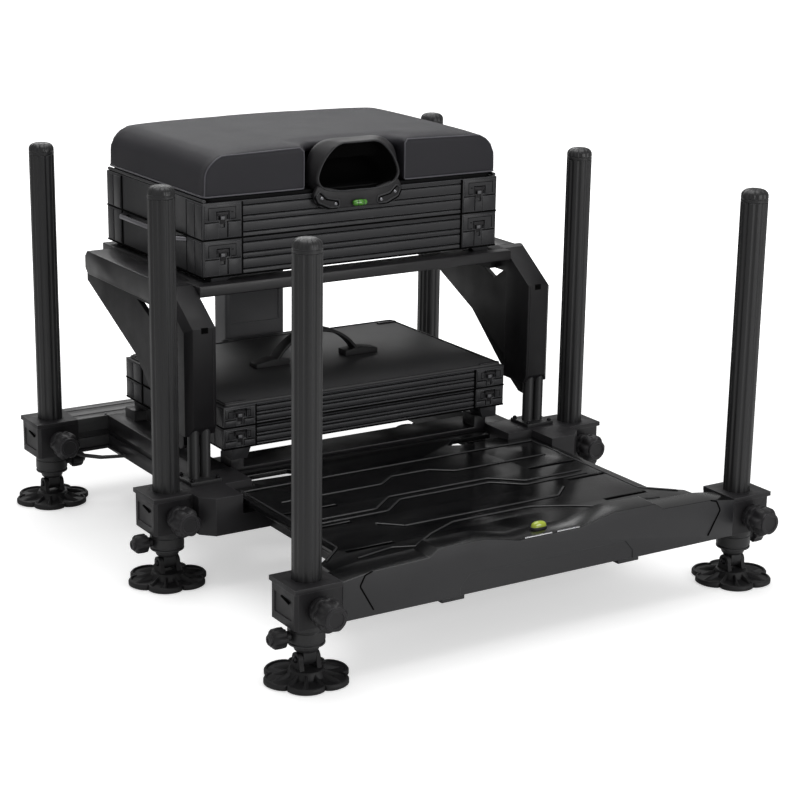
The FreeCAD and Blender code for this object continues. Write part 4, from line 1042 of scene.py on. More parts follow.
    def foot_rib(self, share: float) -> float:
        """Return how high the foot's top stands at a share of the turn, from 0 to 1."""
        u = (share * self.foot_ribs) % 1.0
        return max(0.0, 1.0 - min(u, 1.0 - u) / 0.16) ** 0.5

    def foot(self) -> None:
        """Build the mud foot: a lobed plate with ribs, a hub and two ears with their pin."""
        work = bmesh.new()
        steps = 216
        plain, ribbed = ((0.955, 0.0), (1.0, 1.4), (1.0, 5.6), (0.97, 7.6), (0.93, 7.8), (0.915, 5.2)), (
            (0.80, 5.0, 2.6), (0.62, 5.2, 5.0), (0.47, 6.4, 6.0))
        rings = []
        for scale, z, rib in [(scale, z, 0.0) for scale, z in plain] + list(ribbed):
            outline = ring(lambda s: self.foot_radius(s) * scale, steps)
            rings.append([(self.x + u, self.y + v, z + rib * self.foot_rib(i / steps))
                          for i, (u, v) in enumerate(outline)])
        for radius, z in ((22.0, 12.0), (21.0, 14.6), (19.0, 15.0)):
            rings.append(self.level(ring(lambda s: radius, steps), z))
        loft(work, rings)
        half, near, far = self.pin_boss, *self.ear_span
        ear = [(-half - 3.0, 13.0), (half + 3.0, 13.0), (half, 24.0)]
        ear += arc((0.0, self.pin_height), half, 0, 180, 9) + [(-half, 24.0)]
        for sign in SIGNS:
            prism(work, ear, sign * near, sign * far, self.across)
        node = f"foot_{self.key}"
        finished(closed(work, f"{node}_skin", RUBBER, 0.4, 1, 30.0), node, True)
        bolts = [((self.x + sign * far, self.y, self.pin_height), (sign, 0.0, 0.0)) for sign in SIGNS]
        screws(f"{node}_bolts", node, bolts, 4.4, 1.2, BLACK_STEEL)

    def build(self) -> None:
        """Build the whole leg."""
        self.tube()
        self.knobs()
        self.foot()


@dataclass
class LowerFrame:
    """The cross beams, rails, clamp blocks and slides.

    Args:
        block_edge: The rounding of a moulded block.
        metal_edge: The rounding of an extrusion.
        slot_x: How far from its leg's axis a block's end panel stands.
        slot: The slot's two ends on that panel, in Y from the leg and in Z.
        corner: The place of the pale bead of painted highlight in the frame's inner rear corners, in X and
            Y.
        corner_z: The heights of its two ends.
        base: The middle of a column's base, in X and Y.
        base_reach: How far from that middle its screws stand.
        base_top: The height of the base's top.
        base_screw: The radius of the screws in it.
    """

    block_edge: float = 1.1
    metal_edge: float = 0.7
    slot_x: float = 31.6
    slot: tuple[Flat, Flat] = ((4.0, 110.5), (-14.0, 106.5))
    corner: Flat = (256.4, 365.0)
    corner_z: Flat = (84.0, 130.0)
    base: Flat = (276.5, 17.0)
    base_reach: Flat = (19.0, 17.0)
    base_top: float = 133.4
    base_screw: float = 3.2

    def build(self) -> None:
        """Dress the frame's nodes and set its screws."""
        for node in ("rear_clamp_blocks", "middle_clamp_blocks", "front_clamp_blocks"):
            copy_node(node, NYLON, self.block_edge, 3)
        copy_node("rear_beam", ANODISED_CROSS, self.metal_edge)
        for node in ("side_rails", "middle_bar", "slide_channels"):
            copy_node(node, POWDER_COAT, self.metal_edge)
        copy_node("slide_bars", ANODISED, self.metal_edge)
        # The rear panel's grey is painted light
        copy_node("rear_post", PANEL, 1.2, 3)
        copy_node("upright_columns", ANODISED, 0.9, 3)
        # Dark beads on the blocks' end panels are painted shade in their slots
        for row, y in ROWS.items():
            slots = [[(sign * (TRACK + self.slot_x), y + v, z) for v, z in self.slot] for sign in SIGNS]
            beads(f"{row}_block_slots", f"{row}_clamp_blocks", slots, 1.5, FOAM_AND_PAINTED_SHADE)
        x, y = self.base
        places = [((sign * x + side * self.base_reach[0], y + way * self.base_reach[1], self.base_top),
                   (0.0, 0.0, 1.0)) for sign in SIGNS for way in SIGNS for side in SIGNS]
        screws("column_base_screws", "upright_columns", places, self.base_screw, 1.6, BLACK_STEEL)
        # A satin bead in each inner rear corner is painted highlight
        x, y = self.corner
        corners = [[(sign * x, y, z) for z in self.corner_z] for sign in SIGNS]
        beads("frame_corner_highlights", "side_rails", corners, 1.6, SATIN_METAL)


@dataclass
class UpperFrame:
    """The upright casings and the upper rails.

    Args:
        casing_edge: The rounding of the moulded casings.
        rail_edge: The rounding of the rails.
        seam: The place of a casing's seam, in X and Y.
        seam_z: The heights of its two ends.
        slot_x: Where a casing's slot starts and ends.
        slot_z: The heights of the dark beads, painted shade, that fill the slot.
        slot_depth: How deep they lie.
        lip_x: Where the lip under the seat's side starts and ends across the seat.
        lip_y: Where it starts and ends along the seat.
        lip_z: Its underside and its top.
    """

    casing_edge: float = 2.0
    rail_edge: float = 1.6
    seam: Flat = (259.0, 5.9)
    seam_z: Flat = (206.0, 338.0)
    slot_x: Flat = (266.5, 276.5)
    slot_z: Point = (334.6, 337.0, 339.4)
    slot_depth: float = 1.2
    lip_x: Flat = (226.0, 256.5)
    lip_y: Flat = (66.0, 344.0)
    lip_z: Flat = (381.0, 385.0)

    def build(self) -> None:
        """Dress the upper frame's nodes, with the slot and the seam of each casing."""
        # The casings' darker nylon is painted shade
        copy_node("side_brackets", CASING, self.casing_edge, 3)
        copy_node("upper_side_rails", POWDER_COAT, self.rail_edge, 3)
        copy_node("upper_cross_rails", POWDER_COAT, self.rail_edge, 3)
        seams, slots = [], []
        work = bmesh.new()
        x, y = self.seam
        for sign in SIGNS:
            seams.append([(sign * x, y, z) for z in self.seam_z])
            for z in self.slot_z:
                across = [(sign * end, 0.0, z) for end in self.slot_x]
                slots.append(laid("side_brackets", across, (0.0, 1.0, 0.0), -self.slot_depth))
            inner, outer = (sign * end for end in self.lip_x)
            prism(work, rectangle(inner, outer, *self.lip_y), *self.lip_z, upright)
        beads("casing_seams", "side_brackets", seams, 0.5, RUBBER)
        # The slots' dark beads are painted shade
        beads("casing_slots", "side_brackets", slots, 1.8, FOAM_AND_PAINTED_SHADE)
        finished(closed(work, "rail_lips", RUBBER, 0.6), "upper_side_rails")


@dataclass
class FootplateUnit:
    """The footplate, its front beam and its level.

    Args:
        plate_top: The height of the plate's top.
        bead: The radius of the plate's raised lines.
        crease: The radius of the shade beside each of them.
        level_place: The middle of the level's underside.
        level_half: Half of the level's length and width.
        trim_place: The place of the beam's bright trims, in Y and Z; they stand partly as painted highlight
            on the hump's top.
        seam_y: The place of the seams at the beam's ends, drawn as dark lines of painted shade in their
            grooves.
    """

    plate_top: float = 120.0
    bead: float = 1.8
    crease: float = 1.0
    level_place: Point = (0.0, -380.75, 133.0)
    level_half: Flat = (12.0, 5.9)
    trim_place: Flat = (-403.6, 133.3)
    seam_y: float = -406.9

    def contours(self) -> list[list[Flat]]:
        """Draw the raised lines of the plate.

        Returns:
            Each line's points in X and Y.
        """
        crossing = [mirrored(right) for right in (
            [(238.0, -36.0)],
            [(30.0, -78.0), (60.0, -100.0), (215.0, -100.0)],
            [(80.0, -150.0), (120.0, -184.0), (215.0, -184.0)],
            [(72.0, -166.0), (110.0, -198.0), (215.0, -198.0)],
            [(60.0, -276.0), (110.0, -300.0), (150.0, -328.0)])]
        paired = [[(sign * x, y) for x, y in right] for sign in SIGNS for right in (
            [(238.0, -30.0), (238.0, -284.0), (276.0, -320.0)],
            [(236.0, -330.0), (180.0, -318.0), (150.0, -330.0)])]
        middle = [[(-122.0, -258.0), (-58.0, -258.0), (58.0, -258.0), (122.0, -258.0), (150.0, -232.0)],
                  [(-122.0, -258.0), (-150.0, -232.0)]]
        return crossing + paired + middle

    def level(self) -> None:
        """Build the level: an oval bezel round a domed vial."""
        x, y, low = self.level_place
        for name, finish, stations, stands_for in (
                ("footplate_vial", VIAL, ((0.0, 0.92), (4.6, 0.90), (7.2, 0.78), (8.8, 0.52), (9.2, 0.2)),
                 True),
                ("footplate_bezel", NYLON, ((0.0, 1.0), (1.8, 1.0), (2.6, 0.96)), False)):
            work = bmesh.new()
            oval = [tuple(half * math.copysign(abs(part) ** 0.8, part)
                          for half, part in zip(self.level_half, (math.cos(a), math.sin(a))))
                    for a in (2 * math.pi * i / 48 for i in range(48))]
            loft(work, [[(x + u * scale, y + v * scale, low + up) for u, v in oval]
                        for up, scale in stations])
            finished(closed(work, name, finish, 0.0, 1, 50.0), "footplate_level", stands_for)

    def build(self) -> None:
        """Dress the plate and the beam, and add the plate's raised lines and the beam's trims."""
        copy_node("footplate", GLOSS_PLATE, 1.4, 3)
        copy_node("front_beam", BEAM_COAT, 1.6, 3)
        self.level()
        ease = 12.0
        # The ridges' paler finish is painted highlight
        for name, radius, finish, shift, sunk in (
                ("footplate_ridges", self.bead, GLOSS_RIDGE, 0.0, self.bead * 0.35),
                # Dark lines of painted shadow beside the ridges
                ("footplate_ridge_shadows", self.crease, FOAM_AND_PAINTED_SHADE, self.bead * 1.9, 0.4)):
            lines = [[(x, y - shift, self.plate_top - sunk) for x, y in line] for line in self.contours()]
            beads(name, "footplate", lines, radius, finish, ease)
        # The bright trims are partly painted highlight on the hump's top
        trims = [[(x, *self.trim_place) for x in ends] for ends in ((-38.0, 4.0), (12.0, 47.0))]
        beads("beam_trims", "front_beam", trims, 1.4, TRIM)
        # The seams' dark beads are painted shade in the grooves
        path = ((262.0, 133.0), (272.0, 130.0), (279.0, 117.0), (260.0, 84.0))
        seams = [[(sign * x, self.seam_y, z) for x, z in path] for sign in SIGNS]
        beads("beam_seams", "front_beam", seams, 1.0, FOAM_AND_PAINTED_SHADE, 4.0)


@dataclass
class TrayStack:
    """One stack of trays.

    Args:
        trays: The names of its tray nodes, the lowest first.
        latches: The starts of its latches' names, the lowest first.
        half: Half of its width.
        depth: Its depth.
        back: The place of its back.
        bottom: The height of its lowest tray.
        tier: The height of a tray.
        corner_width: The width of a corner casting.
        corner_depth: The depth of a corner casting.
        proud: How far a casting's front panels stand out.
        side_proud: How far its side panels and its lower panels stand out.
        margin: The plain edge that is left round a casting's panels.
        foot: The plain edge under them.
        head_share: The share of a tray's height at which a latch's head has its middle.
        notch: Half of the width of the notch for a latch's head.
        stem: Half of the width of the slot for its stem.
        seam: The radius of the joints' dark lines, painted shade in the gaps between the parts.
        groove: The radius of the dark lines of painted shade in the ribs' grooves and round the panels.
    """

    trays: tuple[str, str]
    latches: tuple[str, str]
    half: float
    depth: float
    back: float
    bottom: float
    tier: float
    corner_width: float
    corner_depth: float
    proud: float = 1.2
    side_proud: float = 0.96
    margin: float = 3.0
    foot: float = 2.6
    head_share: float = 0.64
    notch: float = 10.2
    stem: float = 6.0
    seam: float = 1.35
    groove: float = 0.6

    @property
    def face(self) -> float:
        """Return the place of its front."""
        return self.back - self.depth

    @property
    def latch_middle(self) -> float:
        """Return how far from the middle of the stack a latch stands."""
        return self.half - self.corner_width / 2

    def head(self, low: float) -> float:
        """Return the height of the middle of a latch's head from that of its tray's underside."""
        return low + self.tier * self.head_share

    def front_panels(self, work: Work, low: float) -> list[list[Point]]:
        """Add the panels on the front castings of one tray.

        Args:
            work: The mesh to add to.
            low: The height of the tray's underside.

        Returns:
            The dark lines of painted shade round and on the panels.
        """
        place = on_face(self.face)
        middle, notch, stem, head = self.latch_middle, self.notch, self.stem, self.head(low)
        top, floor = low + self.tier - self.margin, head - 6.5
        outer, inner = self.half - 2.5, self.half - self.corner_width + self.margin
        width = outer - inner
        split, left, right = inner + width * 0.36, inner + width * 0.14, outer - width * 0.1
        gap, half_height = floor - 1.5, (top + floor) / 2
        upper = [(inner, floor), (middle - notch, floor), (middle - notch, head + 6.6),
                 (middle + notch, head + 6.6), (middle + notch, floor), (outer, floor), (outer, top),
                 (inner, top)]
        sunk = [[(inner, gap), (middle - stem, gap)], [(middle + stem, gap), (outer, gap)],
                [(split, low + 3.0), (split, gap)],
                [(middle - notch + 0.6, head - 5.6), (middle - notch + 0.6, head + 5.8),
                 (middle + notch - 0.6, head + 5.8), (middle + notch - 0.6, head - 5.6)]]
        drawn = [[(right, floor + 2.0), (right, top - 3.6), (left, top - 3.6), (left, floor + 2.0),
                  (middle - notch - 2.0, floor + 2.0)],
                 [(left + 3.6, half_height), (middle - notch - 2.4, half_height)]]
        gaps = []
        for sign in SIGNS:
            prism(work, [(sign * u, v) for u, v in upper], 0.0, self.proud, place)
            for start, end in ((inner, split - 1.4), (split + 1.4, middle - stem), (middle + stem, outer)):
                if end - start > self.margin:
                    outline = rectangle(sign * start, sign * end, low + self.foot, floor - self.margin)
                    prism(work, outline, 0.0, self.side_proud, place)
            for lines, height in ((sunk, 0.1), (drawn, self.proud - 0.2)):
                gaps += [[place(sign * u, v, height) for u, v in line] for line in lines]
        return gaps

    def seams(self, low: float) -> tuple[list[list[Point]], list[list[Point]]]:
        """Return the dark lines of painted shade of one tray.

        Args:
            low: The height of the tray's underside.

        Returns:
            The lines in the ribs' grooves, and those of the joints.
        """
        face, rib_half = self.face, self.half - self.corner_width
        ends = (-rib_half, rib_half)
        heights = (low + 1.0, low + self.tier - 1.0)
        grooves = [[(x, face + 2.3, low + self.tier * share) for x in ends]
                   for share in (0.14, 0.42, 0.58, 0.86)]
        joints = [[(x, face + 1.2, low + 0.4) for x in ends]]
        for sign in SIGNS:
            side = sign * (self.half - 0.3)
            joints.append([(sign * rib_half, face + 0.6, z) for z in heights])
            joints.append([(sign * rib_half, face + 0.3, low + 0.5), (side, face + 0.3, low + 0.5),
                           (side, self.back - 0.3, low + 0.5)])
            for y in (face + self.corner_depth, self.back - self.corner_depth):
                joints.append([(sign * (self.half - 0.9), y, z) for z in heights])
        return grooves, joints

    def side_panels(self, work: Work, low: float) -> None:
        """Add the panels on the side castings of one tray.

        Args:
            work: The mesh to add to.
            low: The height of the tray's underside.
        """
        margin, deep = self.margin, self.corner_depth
        for sign in SIGNS:
            for end, inwards in ((self.face, 1), (self.back, -1)):
                for near, far in ((margin, deep * 0.44), (deep * 0.5, deep - margin)):
                    outline = rectangle(end + inwards * near, end + inwards * far, low + self.foot,
                                        low + self.tier - margin)
                    prism(work, outline, self.half, self.half + self.side_proud,
                          lambda u, v, height: (sign * height, u, v))

    def nose(self, latch: str, sign: int, low: float) -> None:
        """Add the rounded nose that a finger draws a latch by, pale from wear and from a painted highlight.

        Args:
            latch: The latch's node.
            sign: The side that it is on.
            low: The height of its tray's underside.
        """
        middle, head = sign * self.latch_middle, self.head(low)
        work = bmesh.new()
        prism(work, rectangle(middle - 3.0, middle + 3.0, head - 5.4, head - 0.6), -0.4, 1.1,
              on_face(self.face))
        finished(closed(work, f"{latch}_nose", WORN_AND_HIGHLIGHT_NYLON, 0.8, 3), latch)

    def build(self) -> None:
        """Dress the trays, their latches and their castings' panels."""
        for step, (tray, latch) in enumerate(zip(self.trays, self.latches)):
            low = self.bottom + step * self.tier
            copy_node(tray, NYLON_CORNER, 0.6, 2)
            work = bmesh.new()
            gaps = self.front_panels(work, low)
            self.side_panels(work, low)
            finished(closed(work, f"{tray}_panels", NYLON_CORNER, 0.5, 2), tray)
            # Dark lines of painted shade in the ribs' grooves, round the panels and in the joints
            grooves, joints = self.seams(low)
            beads(f"{tray}_grooves", tray, grooves + gaps, self.groove, FOAM_AND_PAINTED_SHADE)
            beads(f"{tray}_joints", tray, joints, self.seam, FOAM_AND_PAINTED_SHADE)
            for side, sign in SIDES.items():
                copy_node(f"{latch}_latch_{side}", NYLON, 0.4, 2)
                self.nose(f"{latch}_latch_{side}", sign, low)


@dataclass
class Lid:
    """The lower stack's gloss lid and its strap.

    Args:
        half: Half of the lid's width.
        front: The place of its front edge.
        back: The place of its back edge.
        top: The height of its top.
        inset: How far from its edges the rim runs.
    """

    half: float = 228.0
    front: float = 34.0
    back: float = 337.0
    top: float = 222.0
    inset: float = 2.2

    def build(self) -> None:
        """Dress the lid and the strap, with the lid's rim and its corner tabs."""
        # The lid's paler colour is painted reflection
        copy_node("lower_lid", GLOSS_LID, 0.6, 2)
        copy_node("lid_handle", RUBBER, 1.4, 3)
        reach = self.half - self.inset
        rim = [(x, y, self.top) for x, y in rectangle(-reach, reach, self.front + self.inset,
                                                      self.back - self.inset)]
        beads("lid_rim", "lower_lid", [rim], 1.5, RUBBER, 5.0, True)
        work = bmesh.new()
        for sign in SIGNS:
            for y in (self.front + 9.0, self.back - 9.0):
                outline = rectangle(sign * (self.half - 1.0), sign * (self.half - 34.0), y - 8.0, y - 2.0)
                prism(work, outline, self.top - 0.5, self.top + 2.2, upright)
        finished(closed(work, "lid_tabs", NYLON, 0.7, 2), "lower_lid")


@dataclass
class Cushion:
    """The padded seat.

    Args:
        voxel: The step of the mesh that the cloth is blown up from.
        slack: How much smaller the shape is before it is blown up.
        pressure: The pressure inside it.
        frames: How long it is blown up for.
        tension: How hard the cloth is to stretch.
        bending: How hard it is to bend.
        most: How far a point may swell.
        evening: How often the swelling is shared with the neighbours, which takes small dents out.
        base: The height of its underside.
        height: Its height.
        half: Half of its width.
        front: The place of its front panel.
        back: The place of its back panel.
        corner: The radius of its long top corners.
        crown: How much its middle stands above those corners.
        bay_half: Half of the width of the bay for the rest.
        bay_back: The place of the bay's back at the top.
        bay_corner: How far the bay's rear corners are cut.
        tunnel_back: The place of the back of the room under the padding for the rest.
        tunnel_top: The height of that room.
        piping_radius: The radius of the piping round its base.
        board_inset: How far inside the cushion the pale rim under its sides runs, a painted highlight along
            the base board.
        board_drop: How far under the cushion that rim runs.
    """

    voxel: float = 5.0
    slack: float = 1.6
    pressure: float = 4.0
    frames: int = 20
    tension: float = 20.0
    bending: float = 6.0
    most: float = 4.0
    evening: int = 24
    base: float = 498.3
    height: float = 63.7
    half: float = 238.5
    front: float = 72.5
    back: float = 377.5
    corner: float = 36.0
    crown: float = 4.0
    bay_half: float = 80.0
    bay_back: float = 96.0
    bay_corner: float = 14.0
    tunnel_back: float = 143.0
    tunnel_top: float = 546.0
    piping_radius: float = 1.2
    board_inset: float = 2.8
    board_drop: float = 2.6

    def hold(self, point: Vector) -> float:
        """Return how much of its swelling a point keeps, least at the base, the bay and the sewn edges.

        Args:
            point: The point in metres.

        Returns:
            A share from 0 to 1.
        """
        over_base, round_bay, at_edges, least = 16.0, 18.0, 24.0, 0.25
        x, y, z = (c / MM for c in point)
        up = (z - self.base - 2.0) / over_base
        aside = max(abs(x) - self.bay_half - 1.0, y - self.bay_back - 1.0) / round_bay
        inward = least + (min(y - self.front, self.back - y) - self.slack) / at_edges
        return min(max(min(up, aside, inward), 0.0), 1.0)

    def start(self) -> Piece:
        """Make the shape that is blown up: a padded section run front to back, less the bay.

        Returns:
            The shape, with no modifiers.
        """
        slack, corner = self.slack, self.corner
        half, top = self.half - slack, self.base + self.height - slack
        side = [(half, self.base)] + arc((half - corner, top - self.crown - corner), corner, 0, 90, 8)
        side += [((half - corner) * share, top - self.crown * share ** 2)
                 for share in (0.75, 0.5, 0.25, 0.0)]
        outline = side + [(-x, z) for x, z in reversed(side[:-1])]
        work = bmesh.new()
        prism(work, outline, self.front + slack, self.back - slack, lambda u, v, height: (u, height, v))
        piece = closed(work, "seat_cushion_cover", LEATHER)
        work = bmesh.new()
        reach, deep, cut_corner = self.bay_half, self.bay_back, self.bay_corner
        bay = [(-reach, 0.0), (reach, 0.0), (reach, deep - cut_corner), (reach - cut_corner, deep),
               (cut_corner - reach, deep), (-reach, deep - cut_corner)]
        below, above = 400.0, 700.0
        prism(work, bay, below, above, upright)
        tunnel = rectangle(-reach, reach, deep - 30.0, self.tunnel_back)
        prism(work, tunnel, below + 1.0, self.tunnel_top, upright)
        cutter = closed(work, "bay_cutter", LEATHER)
        cut = piece.modifiers.new("bay", "BOOLEAN")
        cut.operation = "DIFFERENCE"
        cut.use_self = True
        cut.object = cutter
        to_plain_mesh(piece)
        bpy.data.objects.remove(cutter)
        return piece

    def swell(self, piece: Piece) -> None:
        """Blow the cushion up as cloth and keep a capped share of it.

        Args:
            piece: The shape that is blown up.
        """
        before = [v.co.copy() for v in piece.data.vertices]
        cloth = piece.modifiers.new("cloth", "CLOTH")
        cloth.settings.quality = 4
        cloth.settings.use_pressure = True
        cloth.settings.uniform_pressure_force = self.pressure
        cloth.settings.effector_weights.gravity = 0.0
        cloth.settings.tension_stiffness = self.tension
        cloth.settings.bending_stiffness = self.bending
        cloth.point_cache.frame_start = 1
        cloth.point_cache.frame_end = self.frames
        for step in range(1, self.frames + 1):
            bpy.context.scene.frame_set(step)
        to_plain_mesh(piece)
        shifts = [vertex.co - start for vertex, start in zip(piece.data.vertices, before)]
        for _ in range(self.evening):
            totals, counts = [shift.copy() for shift in shifts], [1] * len(shifts)
            for edge in piece.data.edges:
                first, second = edge.vertices
                totals[first] += shifts[second]
                totals[second] += shifts[first]
                counts[first] += 1
                counts[second] += 1
            shifts = [total / count for total, count in zip(totals, counts)]
        most = self.most * MM
        for vertex, start, shift in zip(piece.data.vertices, before, shifts):
            if shift.length > most:
                shift = shift.normalized() * most
            vertex.co = start + shift * self.hold(start)
        bpy.context.scene.frame_set(1)

    def build(self) -> None:
        """Build the cushion with its piping and its front panel's seams."""
        piece = self.start()
        remesh = piece.modifiers.new("even", "REMESH")
        remesh.mode = "VOXEL"
        remesh.voxel_size = self.voxel * MM
        to_plain_mesh(piece)
        self.swell(piece)
        relax = piece.modifiers.new("relax", "SMOOTH")
        relax.factor = 0.5
        relax.iterations = 4
        finer = piece.modifiers.new("finer", "SUBSURF")
        finer.levels = finer.render_levels = 1
        to_plain_mesh(piece)
        for face in piece.data.polygons:
            face.use_smooth = True
        finished(piece, "seat_cushion", True)
        self.piping(piece)

    def sewn(self, surface: BVHTree, line: Sequence[Point], rise: float) -> list[Point]:
        """Lay a line on the cushion in short steps.

        Args:
            surface: The cushion's surface.
            line: The line's corners.
            rise: How far it lies above the surface.

        Returns:
            The points on the surface.
        """
        stitch = 6.0
        points = []
        for start, end in zip(line, line[1:]):
            start, end = Vector(start), Vector(end)
            steps = max(int((end - start).length / stitch), 1)
            points += [start.lerp(end, step / steps) for step in range(steps)]
        points.append(Vector(line[-1]))
        on_surface = []
        for point in points:
            place, normal, _, _ = surface.find_nearest(point * MM)
            on_surface.append(tuple((place + normal * rise * MM) / MM))
        return on_surface

    def piping(self, piece: Piece) -> None:
        """Run the piping round the base and along the edges of the front panel.

        Args:
            piece: The finished cushion.
        """
        mesh = piece.data
        surface = BVHTree.FromPolygons([v.co for v in mesh.vertices], [f.vertices for f in mesh.polygons])
        low = self.base + 1.2
        high = self.base + self.height - self.crown
        x, front, back, bay, corner = self.half, self.front, self.back, self.bay_half, self.corner
        around = [(u, v, low) for u, v in ((-bay - 2.0, front), (-x, front), (-x, back), (x, back),
                                           (x, front), (bay + 2.0, front))]
        piping = self.sewn(surface, around, 0.6)
        # The piping's paler cloth is partly painted highlight
        beads("cushion_piping", "seat_cushion", [piping], self.piping_radius, PIPING)
        edge = [(x, low)] + arc((x - corner, high - corner), corner, 0, 90, 8)
        edge += [(bay + 7.0, high + self.crown * 0.8), (bay + 1.0, high - 6.0), (bay + 1.0, low)]
        seams = [self.sewn(surface, [(sign * u, front, v) for u, v in edge], 0.2) for sign in SIGNS]
        # The front panel's seams share that paler cloth, partly painted highlight
        beads("cushion_seams", "seat_cushion", seams, 1.0, PIPING)
        # Pale rims along the sides under the cushion are painted highlight
        rims = [[(sign * (x - self.board_inset), y, self.base - self.board_drop)
                 for y in (front + 1.0, back - 1.0)] for sign in SIGNS]
        beads("base_side_highlight_rims", "seat_base", rims, 2.4, NYLON_CORNER)


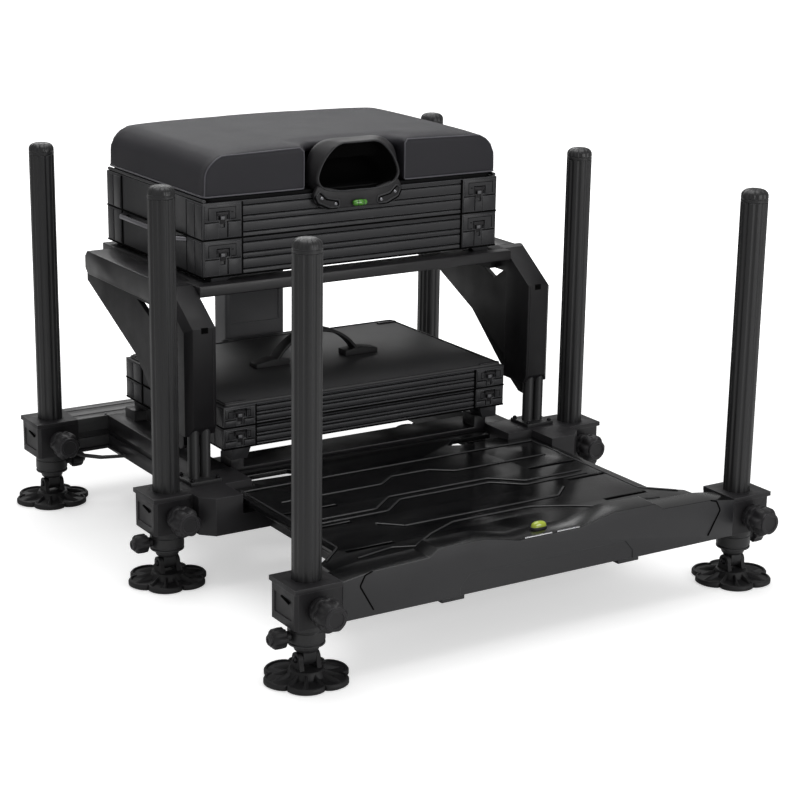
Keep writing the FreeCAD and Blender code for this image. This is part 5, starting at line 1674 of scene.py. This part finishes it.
@dataclass
class PoleRest:
    """The pole-butt rest at the front of the cushion.

    Args:
        face: The place of its front.
        back: The place of its back.
        half: Half of its width.
        centre: The height that its outlines are drawn about.
        steps: The points of an outline.
        ease: How many points to either side a corner is eased over.
        apron_face: The place of the apron's back.
        vial: The place of the level's axis, in Y and Z.
    """

    face: float = 64.0
    back: float = 137.5
    half: float = 71.8
    centre: float = 526.0
    steps: int = 96
    ease: int = 3
    apron_face: float = 72.0
    vial: Flat = (61.0, 476.7)

    def around(self, right: Sequence[Flat], scale: float, y: float) -> list[Point]:
        """Return a rounded section from its right half.

        Args:
            right: The right half's corners from the lowest to the highest, in X and Z.
            scale: How far the section is drawn out from its centre.
            y: Its place along the seat.

        Returns:
            The section's points at even angles.
        """
        corners = [(x, z - self.centre) for x, z in right]
        corners += [(-x, z) for x, z in reversed(corners)]
        angles = [2 * math.pi * step / self.steps for step in range(self.steps)]
        reaches = []
        for angle in angles:
            way = (math.cos(angle), math.sin(angle))
            best = 0.0
            for (ax, az), (bx, bz) in zip(corners, corners[1:] + corners[:1]):
                turn = way[0] * (bz - az) - way[1] * (bx - ax)
                if abs(turn) < 1e-9:
                    continue
                reach = (ax * (bz - az) - az * (bx - ax)) / turn
                share = (ax * way[1] - az * way[0]) / turn
                if reach > 0 and -1e-6 <= share <= 1 + 1e-6:
                    best = max(best, reach)
            reaches.append(best)
        points = []
        for step, angle in enumerate(angles):
            near = [reaches[(step + i) % self.steps] for i in range(-self.ease, self.ease + 1)]
            reach = sum(near) / len(near) * scale
            points.append((reach * math.cos(angle), y, self.centre + reach * math.sin(angle)))
        return points

    def shell(self, name: str, finish: Finish,
              stations: Sequence[tuple[Sequence[Flat], float, float]]) -> Piece:
        """Build a skin from rounded sections, open at its front.

        Args:
            name: The piece's name.
            finish: Its finish.
            stations: The right half, the scale and the place along the seat of each section.

        Returns:
            The piece.
        """
        work = bmesh.new()
        loft(work, [self.around(*station) for station in stations], False, True)
        return closed(work, name, finish, 0.0, 1, 60.0)

    def build(self) -> None:
        """Build the shell, its dark lining, the apron and the level."""
        mouth = [(28.0, 495.0), (66.0, 502.0), (65.0, 515.0), (54.0, 540.0), (33.0, 560.0)]
        flank = [(34.0, 490.0), (self.half, 492.0), (self.half, 540.0), (58.0, 560.0), (38.0, 564.8)]
        rear = [(34.0, 490.0), (70.0, 492.0), (70.0, 524.0), (58.0, 537.0), (36.0, 541.0)]
        inner = [(28.0, 497.0), (58.0, 501.0), (57.0, 512.0), (46.0, 530.0), (30.0, 536.0)]
        face, back = self.face, self.back
        finished(self.shell("pole_rest_shell", NYLON, [
            (mouth, 0.985, face + 2.4), (mouth, 0.99, face + 1.2), (mouth, 1.005, face + 0.1),
            (mouth, 1.035, face), (mouth, 1.06, face + 1.4), (mouth, 1.07, face + 4.0),
            (flank, 0.965, face + 13.0), (flank, 0.99, face + 19.0), (flank, 0.985, face + 24.0),
            (rear, 1.0, face + 29.0), (rear, 1.0, back - 12.0), (rear, 0.985, back - 4.0),
            (rear, 0.94, back)]), "pole_rest", True)
        lining = self.shell("pole_rest_lining", FOAM_AND_PAINTED_SHADE, [
            (mouth, 0.985, face + 2.3), (mouth, 0.93, face + 20.0), (inner, 1.0, face + 26.0),
            (inner, 0.9, face + 50.0), (inner, 0.5, face + 60.0), (inner, 0.1, face + 62.0)])
        lining.data.flip_normals()
        finished(lining, "pole_rest")
        lip = self.around(mouth, 1.02, face + 1.1)
        beads("pole_rest_lip", "pole_rest", [lip], 1.3, NYLON_CORNER, 0.0, True)
        self.apron()
        self.level()

    def apron(self) -> None:
        """Build the apron with its two bolted wings."""
        work = bmesh.new()
        for height, right in (
                (7.4, [(24.0, 470.3), (40.0, 470.3), (60.0, 473.0), (70.0, 481.0), (71.6, 492.0),
                       (66.0, 504.0), (46.0, 500.0), (24.0, 494.0)]),
                (5.4, [(22.0, 470.3), (24.0, 478.0), (19.0, 493.0)])):
            prism(work, mirrored(right), 0.4, height, on_face(self.apron_face))
        finished(closed(work, "pole_rest_apron", NYLON, 1.6, 3), "pole_rest")
        front = self.face + 1.0
        path = [(31.0, 472.6), (46.0, 473.0), (64.0, 481.0), (68.4, 490.0), (62.0, 497.0), (50.0, 486.0),
                (31.0, 482.0)]
        wings = [[(sign * x, front - 0.2, z) for x, z in path] for sign in SIGNS]
        shades = [[(sign * (x + 1.9), front, z - 1.6) for x, z in path] for sign in SIGNS]
        bolts = [((sign * x, front, z), (0.0, -1.0, 0.0)) for sign in SIGNS
                 for x, z in ((37.0, 477.2), (59.5, 486.8))]
        beads("pole_rest_wings", "pole_rest", wings, 1.3, NYLON_CORNER, 3.0, True)
        beads("pole_rest_wing_shades", "pole_rest", shades, 1.1, FOAM_AND_PAINTED_SHADE, 3.0, True)
        screws("pole_rest_screws", "pole_rest", bolts, 2.5, 1.2, ZINC_STEEL)

    def disc(self, x: float, radius: float, steps: int) -> list[Point]:
        """Return a ring of points about the level's axis, at a place across the seat."""
        y, z = self.vial
        return [(x, y + u, z + v) for u, v in ring(lambda s: radius, steps)]

    def level(self) -> None:
        """Build the level's round vial with its two bands."""
        work = bmesh.new()
        stations = [(-10.8, 2.4), (-9.8, 3.6), (-7.0, 4.3), (0.0, 4.6), (7.0, 4.3), (9.8, 3.6), (10.8, 2.4)]
        loft(work, [self.disc(x, radius, 28) for x, radius in stations])
        finished(closed(work, "pole_rest_vial", VIAL_GREEN, 0.0, 1, 50.0), "pole_rest_level", True)
        bands = [self.disc(x, 4.4, 24) for x in (-4.4, 4.4)]
        beads("pole_rest_vial_bands", "pole_rest_level", bands, 0.5, NYLON, 0.0, True)


def main() -> None:
    """Build the studio and every sub-assembly in order."""
    logging.basicConfig(level=logging.INFO)
    for part in (Studio(), LowerFrame(), UpperFrame(), FootplateUnit()):
        part.build()
    for row in ROWS:
        for side in SIDES:
            Leg(row, side).build()
    TrayStack(trays=("seat_tray_bottom", "seat_tray_top"), latches=("seat_bottom", "seat_top"), half=239.0,
              depth=306.0, back=378.0, bottom=391.0, tier=51.0, corner_width=60.0, corner_depth=49.0).build()
    for side in SIDES:
        copy_node(f"side_handle_{side}", SATIN_METAL, 1.2, 3)
    # The base board's near-black is partly painted shade under the cushion
    copy_node("seat_base", BASE_BOARD, 1.0, 2)
    TrayStack(trays=("lower_tray_bottom", "lower_tray_top"), latches=("lower_bottom", "lower_top"),
              half=232.0, depth=311.0, back=341.0, bottom=159.0, tier=30.0, corner_width=50.0,
              corner_depth=53.0).build()
    for part in (Lid(), Cushion(), PoleRest()):
        part.build()


if __name__ == "__main__":
    main()
